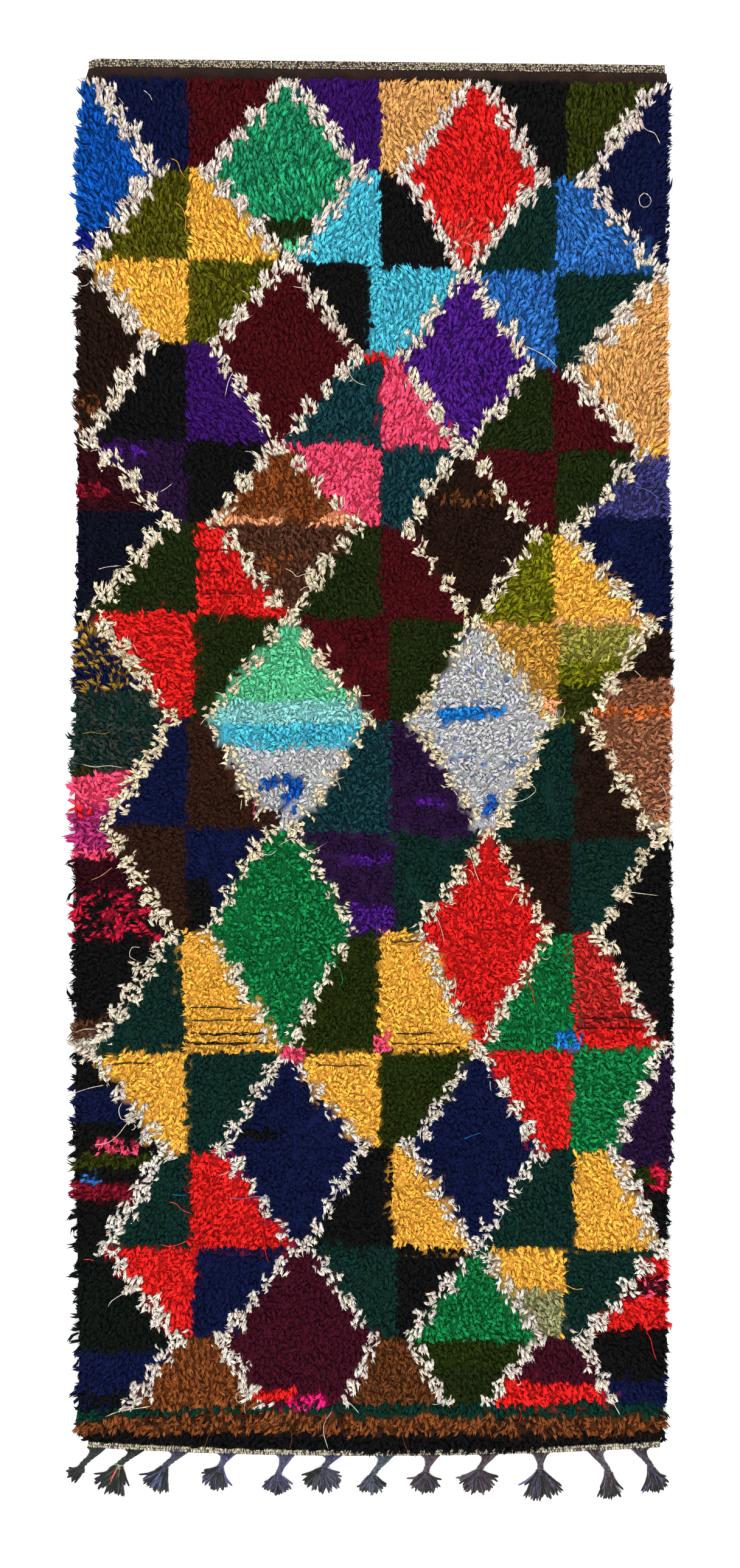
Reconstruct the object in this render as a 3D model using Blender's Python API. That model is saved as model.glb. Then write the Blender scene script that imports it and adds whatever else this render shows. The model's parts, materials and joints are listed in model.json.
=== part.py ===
"""A hand-knotted Moroccan runner, lying flat: woven ground, shag pile, twined ends and plaited warp tassels.

Metres, +Z up. X runs across the rug, +Y towards the flat-woven end, and the tassels lie at the -Y end.
The origin is on the floor, under the middle of the rug and its tassels.
"""

import math
import random

import bmesh
import bpy
from mathutils import Vector, noise

# Heights of the layers
GROUND_THICK = 0.004
LAYER_GAP = 0.0003
PILE_BASE = GROUND_THICK + LAYER_GAP
PILE_TOP = 0.0185
SHOULDER_TOP = 0.0115
LUMP_RISE = 0.0032
LUMP_SPAN = 0.085

# Where the rug's ends lie, along Y
HEADING_Y = 1.362
HEADING_SLANT = 0.0125
END_Y = -1.2615
END_SAG = 0.0165
END_HALF = 0.545

# Sizes along Y of what lies between those ends
HEADING_WIDE = 0.016
FLAT_BAND = 0.026
END_TWINING_WIDE = 0.013
HEADING_RISE = 0.0052
END_TWINING_RISE = 0.0042
TWIST_LENGTH = 0.036

# Steps of the ground cloth's outline
GROUND_COLUMNS = 12
GROUND_ROWS = 28

# Edges of the woven cloth, from the heading down: the left side wanders more than the right one
EDGES = [
    {"y": 1.362, "left": -0.530, "right": 0.555},
    {"y": 1.320, "left": -0.541, "right": 0.558},
    {"y": 1.128, "left": -0.555, "right": 0.556},
    {"y": 0.979, "left": -0.549, "right": 0.553},
    {"y": 0.634, "left": -0.553, "right": 0.555},
    {"y": 0.323, "left": -0.555, "right": 0.562},
    {"y": -0.022, "left": -0.561, "right": 0.560},
    {"y": -0.367, "left": -0.558, "right": 0.562},
    {"y": -0.654, "left": -0.560, "right": 0.565},
    {"y": -0.827, "left": -0.558, "right": 0.556},
    {"y": -1.057, "left": -0.552, "right": 0.554},
    {"y": -1.223, "left": -0.554, "right": 0.550},
    {"y": -1.268, "left": -0.536, "right": 0.545},
]

# Pile
PILE_COLUMNS = 21
LOCK_PITCH = 0.0285
SHOULDER_WIDE = 0.017
LOCK_REACH = {"left": (0.009, 0.018), "right": (0.006, 0.014)}
LOCK_INSET = 0.0022
LOCK_DROOP = 0.0045

# Tassels, from left to right. A warp bundle leaves the end at root_x and is plaited down to its knot,
# drop below the end and at knot_x. Its cut ends fan out by spread about heading, 0 being straight down.
TASSELS = [
    {"root_x": -0.520, "knot_x": -0.551, "drop": 0.040, "brush": 0.030, "heading": -52, "spread": 44, "strands": 5},
    {"root_x": -0.448, "knot_x": -0.478, "drop": 0.030, "brush": 0.060, "heading": -22, "spread": 74, "strands": 8},
    {"root_x": -0.365, "knot_x": -0.393, "drop": 0.031, "brush": 0.050, "heading": -26, "spread": 62, "strands": 8},
    {"root_x": -0.274, "knot_x": -0.288, "drop": 0.029, "brush": 0.042, "heading": -24, "spread": 86, "strands": 8},
    {"root_x": -0.163, "knot_x": -0.178, "drop": 0.042, "brush": 0.035, "heading": -2, "spread": 120, "strands": 9},
    {"root_x": -0.075, "knot_x": -0.093, "drop": 0.027, "brush": 0.046, "heading": 0, "spread": 156, "strands": 9},
    {"root_x": 0.024, "knot_x": 0.000, "drop": 0.041, "brush": 0.034, "heading": 0, "spread": 130, "strands": 9},
    {"root_x": 0.111, "knot_x": 0.101, "drop": 0.036, "brush": 0.038, "heading": 0, "spread": 110, "strands": 9},
    {"root_x": 0.220, "knot_x": 0.201, "drop": 0.034, "brush": 0.044, "heading": 0, "spread": 160, "strands": 9},
    {"root_x": 0.318, "knot_x": 0.318, "drop": 0.036, "brush": 0.056, "heading": 6, "spread": 112, "strands": 9},
    {"root_x": 0.424, "knot_x": 0.447, "drop": 0.043, "brush": 0.050, "heading": 4, "spread": 56, "strands": 7},
    {"root_x": 0.506, "knot_x": 0.528, "drop": 0.039, "brush": 0.048, "heading": 20, "spread": 52, "strands": 7},
]
ROOT_HALF = 0.017
ROOT_RISE = 0.003
PLAIT_HALF = 0.0064
PLAIT_WALL = 0.0045
PLAIT_CROWN = 0.0095
PLAIT_STEP = 0.0065
PLAIT_BULGE = 0.17
CROWN_SHARE = 0.45
KNOT_CROWN = 0.0112
PALM_RADIUS = 0.015
STRAND_TIP_HALF = 0.0007
STRAND_TIP_RISE = 0.0014

SEED = 11


def smooth_between(a, b, share):
    """A value that leaves a and reaches b without a corner."""
    return a + (b - a) * (3 - 2 * share) * share * share


def edge_x(side, y):
    """Where the woven cloth ends on that side, at this distance along the rug."""
    for upper, lower in zip(EDGES, EDGES[1:]):
        if y >= lower["y"]:
            share = min(max((upper["y"] - y) / (upper["y"] - lower["y"]), 0), 1)
            return smooth_between(upper[side], lower[side], share)
    return EDGES[-1][side]


def heading_y(x):
    """The upper end, which slants down a little to the right."""
    return HEADING_Y - HEADING_SLANT * max(x + END_HALF, 0) / (2 * END_HALF)


def end_y(x):
    """The lower end, which sags in the middle where the tassels pull on it."""
    return END_Y - END_SAG * (1 - min((x / END_HALF) ** 2, 1))


def lump(x, y):
    """How far the lying tufts heap up here: broad lumps, and smaller ones on them."""
    broad = noise.noise(Vector((x / LUMP_SPAN, y / LUMP_SPAN, 0)))
    small = noise.noise(Vector((x / LUMP_SPAN * 2.3, y / LUMP_SPAN * 2.3, 5)))
    return LUMP_RISE * (broad * 1.6 + small * 0.8)


def new_object(name, bm, material):
    """A named object with its own finish, made from a bmesh whose faces are turned outwards."""
    bmesh.ops.recalc_face_normals(bm, faces=bm.faces)
    mesh = bpy.data.meshes.new(name)
    bm.to_mesh(mesh)
    bm.free()
    mesh.materials.append(material)
    obj = bpy.data.objects.new(name, mesh)
    bpy.context.scene.collection.objects.link(obj)
    return obj


def wool(name, colour, roughness):
    """Dull wool of one colour."""
    material = bpy.data.materials.new(name)
    material.use_nodes = True
    shader = material.node_tree.nodes["Principled BSDF"]
    shader.inputs["Base Color"].default_value = (*colour, 1)
    shader.inputs["Roughness"].default_value = roughness
    shader.inputs["Metallic"].default_value = 0
    return material


def even_shares(count):
    return [i / count for i in range(count + 1)]


def grid_between(columns, rows, place):
    """A sheet of quads. place(column, row) gives each corner."""
    bm = bmesh.new()
    bmesh.ops.create_grid(bm, x_segments=columns, y_segments=rows, size=0.5)
    for vert in bm.verts:
        column = round((vert.co.x + 0.5) * columns)
        row = round((vert.co.y + 0.5) * rows)
        vert.co = place(column, row)
    return bm


def thicken_down(bm, base):
    """Closes a sheet into a slab whose underside is flat at base, and returns its side faces."""
    top = list(bm.faces)
    made = bmesh.ops.extrude_face_region(bm, geom=top)["geom"]
    upper = {v for v in made if isinstance(v, bmesh.types.BMVert)}
    under = [v for v in bm.verts if v not in upper]
    for vert in under:
        vert.co.z = base
    bm.normal_update()
    walls = [f for f in bm.faces if 0 < sum(v in upper for v in f.verts) < len(f.verts)]
    bottom = [f for f in bm.faces if all(v not in upper for v in f.verts)]
    bmesh.ops.dissolve_faces(bm, faces=bottom, use_verts=False)
    return walls


def raise_face(bm, face, keep):
    """Extrudes one face where it is, leaving the old one in place only if it is to close the body."""
    made = bmesh.ops.extrude_face_region(bm, geom=[face])["geom"]
    if not keep:
        bmesh.ops.delete(bm, geom=[face], context="FACES_ONLY")
    return next(f for f in made if isinstance(f, bmesh.types.BMFace))


def build_ground(material):
    """The weft-faced ground cloth. It shows as a flat band at the heading and all over the underside."""

    def place(column, row):
        share = row / GROUND_ROWS
        y_level = END_Y + (HEADING_Y - HEADING_WIDE - END_Y) * share
        left, right = edge_x("left", y_level), edge_x("right", y_level)
        x = left + (right - left) * column / GROUND_COLUMNS
        upper = heading_y(x) - HEADING_WIDE - LAYER_GAP
        lower = end_y(x) + END_TWINING_WIDE + LAYER_GAP
        return Vector((x, lower + (upper - lower) * share, GROUND_THICK))

    bm = grid_between(GROUND_COLUMNS, GROUND_ROWS, place)
    thicken_down(bm, 0)
    return new_object("ground_weave", bm, material)


def shoulder_shares(count, length, shoulder):
    """Shares of a length: one narrow step at either end, and even ones between them."""
    narrow = shoulder / length
    inner = [narrow + (1 - 2 * narrow) * share for share in even_shares(count - 2)]
    return [0, *inner, 1]


def build_pile(material, rng):
    """The shag as one lumpy slab. Each side face draws out into a lock of tufts past the cloth's edge."""
    length = HEADING_Y - END_Y
    rows = round((length - HEADING_WIDE - FLAT_BAND) / LOCK_PITCH)
    across = shoulder_shares(PILE_COLUMNS, END_HALF * 2, SHOULDER_WIDE)
    along = even_shares(rows)

    def place(column, row):
        y_level = END_Y + (length - HEADING_WIDE - FLAT_BAND) * along[row]
        left, right = edge_x("left", y_level), edge_x("right", y_level)
        x = left + (right - left) * across[column]
        upper = heading_y(x) - HEADING_WIDE - FLAT_BAND
        lower = end_y(x) + END_TWINING_WIDE
        y = lower + (upper - lower) * along[row]
        rim = column in (0, PILE_COLUMNS) or row in (0, rows)
        z = SHOULDER_TOP + lump(x, y) * 0.5 if rim else PILE_TOP + lump(x, y)
        return Vector((x, y, z))

    bm = grid_between(PILE_COLUMNS, rows, place)
    walls = thicken_down(bm, PILE_BASE)
    sides = [f for f in walls if abs(f.normal.x) > 0.7]
    bmesh.ops.inset_individual(bm, faces=sides, thickness=LOCK_INSET, use_even_offset=False)
    tips = bmesh.ops.poke(bm, faces=sides)["verts"]
    for tip in sorted(tips, key=lambda v: (v.co.x > 0, v.co.y)):
        side = "right" if tip.co.x > 0 else "left"
        reach = rng.uniform(*LOCK_REACH[side])
        tip.co.x += reach if side == "right" else -reach
        tip.co.y += rng.uniform(-0.010, 0.004)
        tip.co.z -= LOCK_DROOP * rng.uniform(0.1, 1)
    return new_object("pile_field", bm, material)


def build_twining(name, material, middle_y, wide, rise, x_from, x_to):
    """Twined yarns in a low, rounded cord along one end. middle_y(x) is its centre line."""
    steps = round((x_to - x_from) / TWIST_LENGTH)
    half = wide / 2
    section = [(-half, 0), (-half, 0.55), (-half * 0.5, 1), (half * 0.5, 1), (half, 0.55), (half, 0)]
    bm = bmesh.new()
    face = None
    for step in range(steps + 1):
        x = x_from + (x_to - x_from) * step / steps
        crown = rise * (1 + 0.12 * math.sin(step * 1.9))
        ring = [Vector((x, middle_y(x) + across, share * crown)) for across, share in section]
        if face is None:
            face = bm.faces.new([bm.verts.new(p) for p in ring])
            continue
        face = raise_face(bm, face, keep=step == 1)
        for vert, point in zip(face.verts, ring):
            vert.co = point
    return new_object(name, bm, material)


def plait_line(row):
    """Points down the middle of a plait, leaving the cloth square and curving to its knot."""
    root = Vector((row["root_x"], end_y(row["root_x"]) - LAYER_GAP))
    knot = root + Vector((row["knot_x"] - row["root_x"], -row["drop"]))
    steps = max(3, round((knot - root).length / PLAIT_STEP))
    points = []
    for share in even_shares(steps):
        x = smooth_between(root.x, knot.x, share)
        points.append(Vector((x, root.y + (knot.y - root.y) * share)))
    return points


def plait_half(index, side):
    """Half the plait's width: wide where the warps gather, then lobed left and right in turn."""
    gather = max(1 - index / 2, 0) ** 1.5
    lobe = 1 + PLAIT_BULGE * math.cos(math.pi * (index + (side > 0)))
    return PLAIT_HALF * lobe * (1 - gather) + ROOT_HALF * gather


def tassel_corners(row):
    """The corners of a tassel's plan without its cut ends, anticlockwise, and where its palm begins."""
    line = plait_line(row)
    left, right = [], []
    for index, point in enumerate(line[:-1]):
        ahead = (line[index + 1] - point).normalized()
        across = Vector((-ahead.y, ahead.x)) if index else Vector((1, 0))
        rise = PLAIT_WALL if index else ROOT_RISE
        crown = PLAIT_CROWN * (1 + 0.09 * math.cos(math.pi * index)) if index else ROOT_RISE * 1.4
        for side, corners in ((1, right), (-1, left)):
            rim = point + across * side * plait_half(index, side)
            if index == 0:
                rim.y = end_y(rim.x) - LAYER_GAP
            corners.append({"rim": rim, "centre": point, "rise": rise, "crown": crown})
    knot = line[-1]
    palm = []
    for share in even_shares(row["strands"]):
        turn = math.radians(row["heading"] + row["spread"] * (share - 0.5))
        reach = Vector((math.sin(turn), -math.cos(turn))) * PALM_RADIUS
        palm.append({"rim": knot + reach, "centre": knot, "rise": PLAIT_WALL, "crown": KNOT_CROWN})
    return left + palm + right[::-1], len(left)


def draw_out_strands(bm, faces, knot, row, rng):
    """Pulls each side face of the palm out into one cut end, which lies level on the floor and tapers."""
    for face in faces:
        root = face.calc_center_median()
        turn = math.atan2(root.x - knot.x, knot.y - root.y)
        length = row["brush"] * rng.uniform(0.74, 1.0) - PALM_RADIUS
        bend = math.radians(row["spread"] / row["strands"] * rng.uniform(-0.35, 0.35))
        half = face.calc_area() / PLAIT_WALL / 2
        stages = [
            {"share": 0.5, "half": half * 0.86, "rise": PLAIT_WALL * 0.8, "turn": turn + bend * 0.3},
            {"share": 1.0, "half": STRAND_TIP_HALF, "rise": STRAND_TIP_RISE, "turn": turn + bend},
        ]
        for stage in stages:
            made = bmesh.ops.extrude_discrete_faces(bm, faces=[face])["faces"]
            face = made[0]
            ahead = Vector((math.sin(stage["turn"]), -math.cos(stage["turn"]), 0))
            across = Vector((-ahead.y, ahead.x, 0))
            centre = Vector((root.x, root.y, 0)) + ahead * length * stage["share"]
            middle = face.calc_center_median()
            for vert in face.verts:
                side = 1 if (vert.co - middle).dot(across) > 0 else -1
                height = stage["rise"] if vert.co.z > middle.z else 0
                vert.co = centre + across * side * stage["half"] + Vector((0, 0, height))


def nearest_corner(corners, point):
    """Which corner of the plan a vertex stands over."""
    return min(range(len(corners)), key=lambda i: (corners[i]["rim"] - point.xy).length)


def build_tassel(name, row, material, rng):
    """One plaited warp bundle with its splayed, cut ends, flat where it lies on the floor."""
    corners, palm_start = tassel_corners(row)
    knot = corners[palm_start]["centre"]
    palm_end = palm_start + row["strands"]
    bm = bmesh.new()
    floor_face = bm.faces.new([bm.verts.new((c["rim"].x, c["rim"].y, 0)) for c in corners])
    top = raise_face(bm, floor_face, keep=True)
    for vert in top.verts:
        vert.co.z = corners[nearest_corner(corners, vert.co)]["rise"]
    palm_walls = []
    for edge in top.edges:
        if all(palm_start <= nearest_corner(corners, v.co) <= palm_end for v in edge.verts):
            palm_walls.append(next(f for f in edge.link_faces if f is not top))
    top = raise_face(bm, top, keep=False)
    crown = {nearest_corner(corners, v.co): v for v in top.verts}
    for index, vert in crown.items():
        corner = corners[index]
        inner = corner["centre"].lerp(corner["rim"], CROWN_SHARE)
        vert.co = Vector((inner.x, inner.y, corner["crown"]))
    for index in range(1, palm_start):
        bmesh.ops.connect_vert_pair(bm, verts=[crown[index], crown[len(corners) - 1 - index]])
    draw_out_strands(bm, palm_walls, knot, row, rng)
    return new_object(name, bm, material)


def main():
    for old in list(bpy.data.objects):
        bpy.data.objects.remove(old)
    rng = random.Random(SEED)
    brown_weave = wool("brown_weave", (0.045, 0.028, 0.022), 0.95)
    shag = wool("shag_wool", (0.20, 0.07, 0.08), 0.92)
    cream_twine = wool("cream_twine", (0.46, 0.40, 0.29), 0.93)
    warp_plait = wool("warp_plait", (0.055, 0.05, 0.10), 0.9)

    build_ground(brown_weave)
    build_pile(shag, rng)
    build_twining(
        "heading_twining",
        cream_twine,
        lambda x: heading_y(x) - HEADING_WIDE / 2,
        HEADING_WIDE,
        HEADING_RISE,
        EDGES[0]["left"] + 0.004,
        EDGES[0]["right"],
    )
    build_twining(
        "end_twining",
        cream_twine,
        lambda x: end_y(x) + END_TWINING_WIDE / 2,
        END_TWINING_WIDE,
        END_TWINING_RISE,
        EDGES[-1]["left"],
        EDGES[-1]["right"],
    )
    for number, row in enumerate(TASSELS, 1):
        build_tassel(f"tassel_{number:02d}", row, warp_plait, rng)


main()
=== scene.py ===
import json
import math

import bmesh
import bpy
import numpy as np
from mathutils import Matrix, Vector, noise

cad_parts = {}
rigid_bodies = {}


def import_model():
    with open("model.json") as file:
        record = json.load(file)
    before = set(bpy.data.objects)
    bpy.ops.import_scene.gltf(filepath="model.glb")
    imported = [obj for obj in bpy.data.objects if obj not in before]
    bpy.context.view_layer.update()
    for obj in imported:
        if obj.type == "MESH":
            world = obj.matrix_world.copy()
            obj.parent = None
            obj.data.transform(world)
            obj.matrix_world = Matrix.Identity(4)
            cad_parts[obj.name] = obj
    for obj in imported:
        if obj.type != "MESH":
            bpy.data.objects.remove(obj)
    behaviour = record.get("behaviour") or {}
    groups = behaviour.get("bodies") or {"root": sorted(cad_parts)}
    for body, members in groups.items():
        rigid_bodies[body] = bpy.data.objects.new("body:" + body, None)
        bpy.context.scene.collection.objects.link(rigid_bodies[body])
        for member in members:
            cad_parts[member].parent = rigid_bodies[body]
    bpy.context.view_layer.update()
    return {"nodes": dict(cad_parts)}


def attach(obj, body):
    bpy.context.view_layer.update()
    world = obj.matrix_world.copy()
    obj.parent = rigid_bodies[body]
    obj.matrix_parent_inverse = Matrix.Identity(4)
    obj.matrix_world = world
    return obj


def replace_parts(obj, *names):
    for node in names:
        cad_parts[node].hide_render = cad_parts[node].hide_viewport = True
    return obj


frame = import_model()
print("frame loaded:", len(frame["nodes"]), "solids")

rng = np.random.default_rng(2611)
noise.seed_set(26)  # without this, the smooth noise starts elsewhere in each run

# The rug's outline in metres, the same as its solids have
rug = {
    "headingY": 1.362,
    "headingSlant": 0.0125,
    "headingWide": 0.016,
    "flatBand": 0.026,
    "endY": -1.2615,
    "endSag": 0.0165,
    "endHalf": 0.545,
    "twiningWide": 0.013,
    "groundThick": 0.004,
    "wide": 1.11,
}
clothEdges = [
    {"y": 1.362, "left": -0.530, "right": 0.555},
    {"y": 1.320, "left": -0.541, "right": 0.558},
    {"y": 1.128, "left": -0.555, "right": 0.556},
    {"y": 0.979, "left": -0.549, "right": 0.553},
    {"y": 0.634, "left": -0.553, "right": 0.555},
    {"y": 0.323, "left": -0.555, "right": 0.562},
    {"y": -0.022, "left": -0.561, "right": 0.560},
    {"y": -0.367, "left": -0.558, "right": 0.562},
    {"y": -0.654, "left": -0.560, "right": 0.565},
    {"y": -0.827, "left": -0.558, "right": 0.556},
    {"y": -1.057, "left": -0.552, "right": 0.554},
    {"y": -1.223, "left": -0.554, "right": 0.550},
    {"y": -1.268, "left": -0.536, "right": 0.545},
]


def edgeX(side, y):
    y = np.asarray(y, float)
    spots = np.array([row["y"] for row in clothEdges])
    values = np.array([row[side] for row in clothEdges])
    upper = np.clip((spots[:, None] > y.ravel()).sum(axis=0) - 1, 0, len(spots) - 2)
    share = np.clip((spots[upper] - y.ravel()) / (spots[upper] - spots[upper + 1]), 0, 1)
    share = (3 - 2 * share) * share * share
    return (values[upper] + (values[upper + 1] - values[upper]) * share).reshape(y.shape)


def headingY(x):
    return rug["headingY"] - rug["headingSlant"] * np.maximum(x + rug["endHalf"], 0) / (2 * rug["endHalf"])


def endY(x):
    return rug["endY"] - rug["endSag"] * (1 - np.minimum((x / rug["endHalf"]) ** 2, 1))


# Camera straight above, soft light and a pale floor
shot = {"tall": 2.9624, "x": -0.0037, "y": -0.0086, "lens": 120, "sensor": 36, "farEnd": 60}
light = {
    "sky": 1.38,
    "keyLight": {"strength": 2.5, "turn": (30, -18), "soft": 60},
    "fillLight": {"strength": 1.0, "turn": (-36, 26), "soft": 90},
}
floorLook = {"half": 15, "drop": 0.0006, "colour": (0.83, 0.83, 0.825), "rough": 0.75}


def addCamera():
    data = bpy.data.cameras.new("overheadCamera")
    data.lens = shot["lens"]
    data.sensor_width = shot["sensor"]
    data.clip_end = shot["farEnd"]
    camera = bpy.data.objects.new("overheadCamera", data)
    camera.location = (shot["x"], shot["y"], shot["tall"] * shot["lens"] / shot["sensor"])
    bpy.context.scene.collection.objects.link(camera)
    bpy.context.scene.camera = camera


def addSun(name):
    data = bpy.data.lights.new(name, "SUN")
    data.energy = light[name]["strength"]
    data.angle = math.radians(light[name]["soft"])
    sun = bpy.data.objects.new(name, data)
    sun.rotation_euler = (*np.radians(light[name]["turn"]), 0)
    bpy.context.scene.collection.objects.link(sun)


def addStage():
    addCamera()
    addSun("keyLight")
    addSun("fillLight")
    sky = bpy.data.worlds.new("softSky")
    sky.use_nodes = True
    sky.node_tree.nodes["Background"].inputs["Color"].default_value = (1, 1, 1, 1)
    sky.node_tree.nodes["Background"].inputs["Strength"].default_value = light["sky"]
    bpy.context.scene.world = sky
    bpy.context.scene.view_settings.view_transform = "Standard"
    bm = bmesh.new()
    bmesh.ops.create_grid(bm, x_segments=1, y_segments=1, size=floorLook["half"])
    for vert in bm.verts:
        vert.co.z = -floorLook["drop"]
    mesh = bpy.data.meshes.new("paleFloor")
    bm.to_mesh(mesh)
    bm.free()
    paint = bpy.data.materials.new("palePaint")
    paint.use_nodes = True
    shader = paint.node_tree.nodes["Principled BSDF"]
    shader.inputs["Base Color"].default_value = (*floorLook["colour"], 1)
    shader.inputs["Roughness"].default_value = floorLook["rough"]
    mesh.materials.append(paint)
    floor = bpy.data.objects.new("paleFloor", mesh)
    bpy.context.scene.collection.objects.link(floor)
    return floor


floor = addStage()
print("camera, light and floor placed")

# Yarn colours, as red, green and blue of 255
yarns = {
    "cream": (228, 214, 196),
    "royalBlue": (10, 80, 172),
    "ultramarine": (14, 26, 120),
    "azure": (26, 122, 204),
    "blue": (44, 106, 182),
    "slateBlue": (90, 118, 178),
    "purpleBlue": (60, 58, 114),
    "navy": (11, 18, 54),
    "inkNavy": (10, 13, 28),
    "maroon": (66, 9, 15),
    "darkMaroon": (44, 8, 16),
    "crimson": (188, 24, 54),
    "darkCrimson": (124, 16, 36),
    "red": (236, 32, 30),
    "brickRed": (196, 40, 38),
    "coral": (240, 72, 62),
    "pink": (255, 74, 110),
    "hotPink": (246, 26, 112),
    "magenta": (180, 46, 112),
    "violet": (72, 24, 124),
    "deepViolet": (52, 15, 92),
    "darkPurple": (36, 16, 50),
    "aubergine": (58, 11, 27),
    "green": (32, 144, 96),
    "deepGreen": (4, 86, 52),
    "leafGreen": (16, 122, 62),
    "darkGreen": (27, 38, 10),
    "bottleGreen": (6, 46, 36),
    "darkTealGreen": (12, 42, 36),
    "darkTeal": (18, 56, 62),
    "tealGrey": (40, 52, 46),
    "greenBlack": (11, 18, 14),
    "mint": (92, 200, 144),
    "paleTurquoise": (134, 204, 200),
    "turquoise": (72, 184, 208),
    "paleGrey": (190, 190, 192),
    "olive": (82, 81, 9),
    "limeOlive": (112, 112, 12),
    "mossOlive": (47, 53, 8),
    "darkOlive": (32, 44, 6),
    "sage": (152, 146, 62),
    "paleSage": (152, 152, 106),
    "mustard": (158, 122, 48),
    "yellow": (247, 177, 64),
    "ochre": (206, 150, 60),
    "peach": (244, 160, 112),
    "tan": (222, 160, 92),
    "orange": (208, 104, 48),
    "camel": (124, 66, 30),
    "orangeBrown": (122, 66, 31),
    "rust": (150, 94, 66),
    "brown": (126, 64, 27),
    "walnut": (98, 54, 26),
    "umber": (84, 50, 34),
    "barkBrown": (46, 25, 15),
    "darkBrown": (32, 18, 11),
    "black": (13, 13, 14),
}
# The cream wool is whiter at the ends of the rug and more yellow in the middle
creamTones = {
    "y": (-1.3, -0.7, -0.3, 0.1, 0.5, 0.9, 1.35),
    "tones": (
        (217, 206, 191), (213, 203, 192), (219, 204, 177), (221, 203, 167), (219, 204, 179), (217, 201, 185),
        (217, 201, 190),
    ),
}
# Patches where knots of two colours are mixed, with the second one's share
mixedYarns = {
    "mustardMix": ("navy", "mustard", 0.4),
    "tealMix": ("tealGrey", "darkTealGreen", 0.4),
    "roseMix": ("darkMaroon", "pink", 0.4),
    "crimsonMix": ("black", "crimson", 0.5),
    "orangeMix": ("orangeBrown", "barkBrown", 0.2),
}

# The lattice in millimetres. Each level has its height at the left, middle and right,
# and the places of the six cream zigzags that cross it. Lozenges close at every second level.
levelSpots = (-420, 0, 400)
levels = [
    {"y": (1329, 1326, 1323), "lines": (-530, -157, -153, 194, 209, 545)},
    {"y": (1152, 1148, 1133), "lines": (-406, -306, -23, 61, 320, 407)},
    {"y": (984, 972, 954), "lines": (-538, -165, -153, 171, 183, 545)},
    {"y": (827, 803, 770), "lines": (-425, -300, -31, 56, 300, 377)},
    {"y": (642, 632, 619), "lines": (-535, -184, -173, 163, 178, 507)},
    {"y": (493, 478, 463), "lines": (-382, -295, -31, 64, 308, 377)},
    {"y": (319, 303, 292), "lines": (-530, -157, -153, 194, 198, 529)},
    {"y": (120, 112, 112), "lines": (-379, -306, -8, 79, 339, 407)},
    {"y": (-86, -104, -113), "lines": (-501, -196, -142, 217, 232, 537)},
    {"y": (-288, -288, -292), "lines": (-382, -313, -39, 87, 331, 430)},
    {"y": (-518, -518, -508), "lines": (-530, -168, -165, 194, 206, 545)},
    {"y": (-704, -693, -702), "lines": (-394, -287, -16, 72, 316, 461)},
    {"y": (-886, -883, -888), "lines": (-504, -142, -123, 194, 201, 545)},
    {"y": (-1056, -1056, -1056), "lines": (-369, -283, 3, 76, 316, 400)},
    {"y": (-1190, -1182, -1180), "lines": (-455, -211, -51, 140, 213, 453)},
]
# Split columns between the lozenges: left colour, right colour and where they meet, by half row
splitColumns = [
    [
        ("navy", "maroon", -349), ("olive", "yellow", -348), ("yellow", "olive", -348),
        ("black", "deepViolet", -352), ("darkPurple", "black", -352), ("darkGreen", "red", -333),
        ("red", "darkGreen", -336), ("navy", "barkBrown", -352), ("barkBrown", "navy", -352),
        ("darkTealGreen", "yellow", -356), ("yellow", "darkTealGreen", -352),
        ("darkTealGreen", "red", -344), ("red", "navy", -336), ("camel", "camel", -336),
    ],
    [
        ("deepViolet", "tan", 15), ("turquoise", "black", 15), ("black", "turquoise", -1),
        ("darkTeal", "pink", 18), ("pink", "darkTeal", 15), ("darkGreen", "maroon", 18),
        ("maroon", "darkGreen", 33), ("darkTeal", "darkPurple", 37), ("darkPurple", "darkTealGreen", 41),
        ("darkOlive", "yellow", 15), ("yellow", "darkOlive", 15), ("black", "yellow", 37),
        ("darkTealGreen", "black", 48), ("walnut", "walnut", 45),
    ],
    [
        ("black", "mossOlive", 366), ("darkTealGreen", "blue", 346), ("blue", "darkTealGreen", 349),
        ("darkGreen", "maroon", 339), ("maroon", "darkGreen", 346), ("limeOlive", "yellow", 343),
        ("ochre", "sage", 354), ("darkTealGreen", "darkBrown", 380), ("darkBrown", "darkTealGreen", 377),
        ("leafGreen", "brickRed", 380), ("red", "leafGreen", 377), ("darkTealGreen", "yellow", 382),
        ("yellow", "darkTealGreen", 365), ("aubergine", "aubergine", 354),
    ],
]
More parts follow.
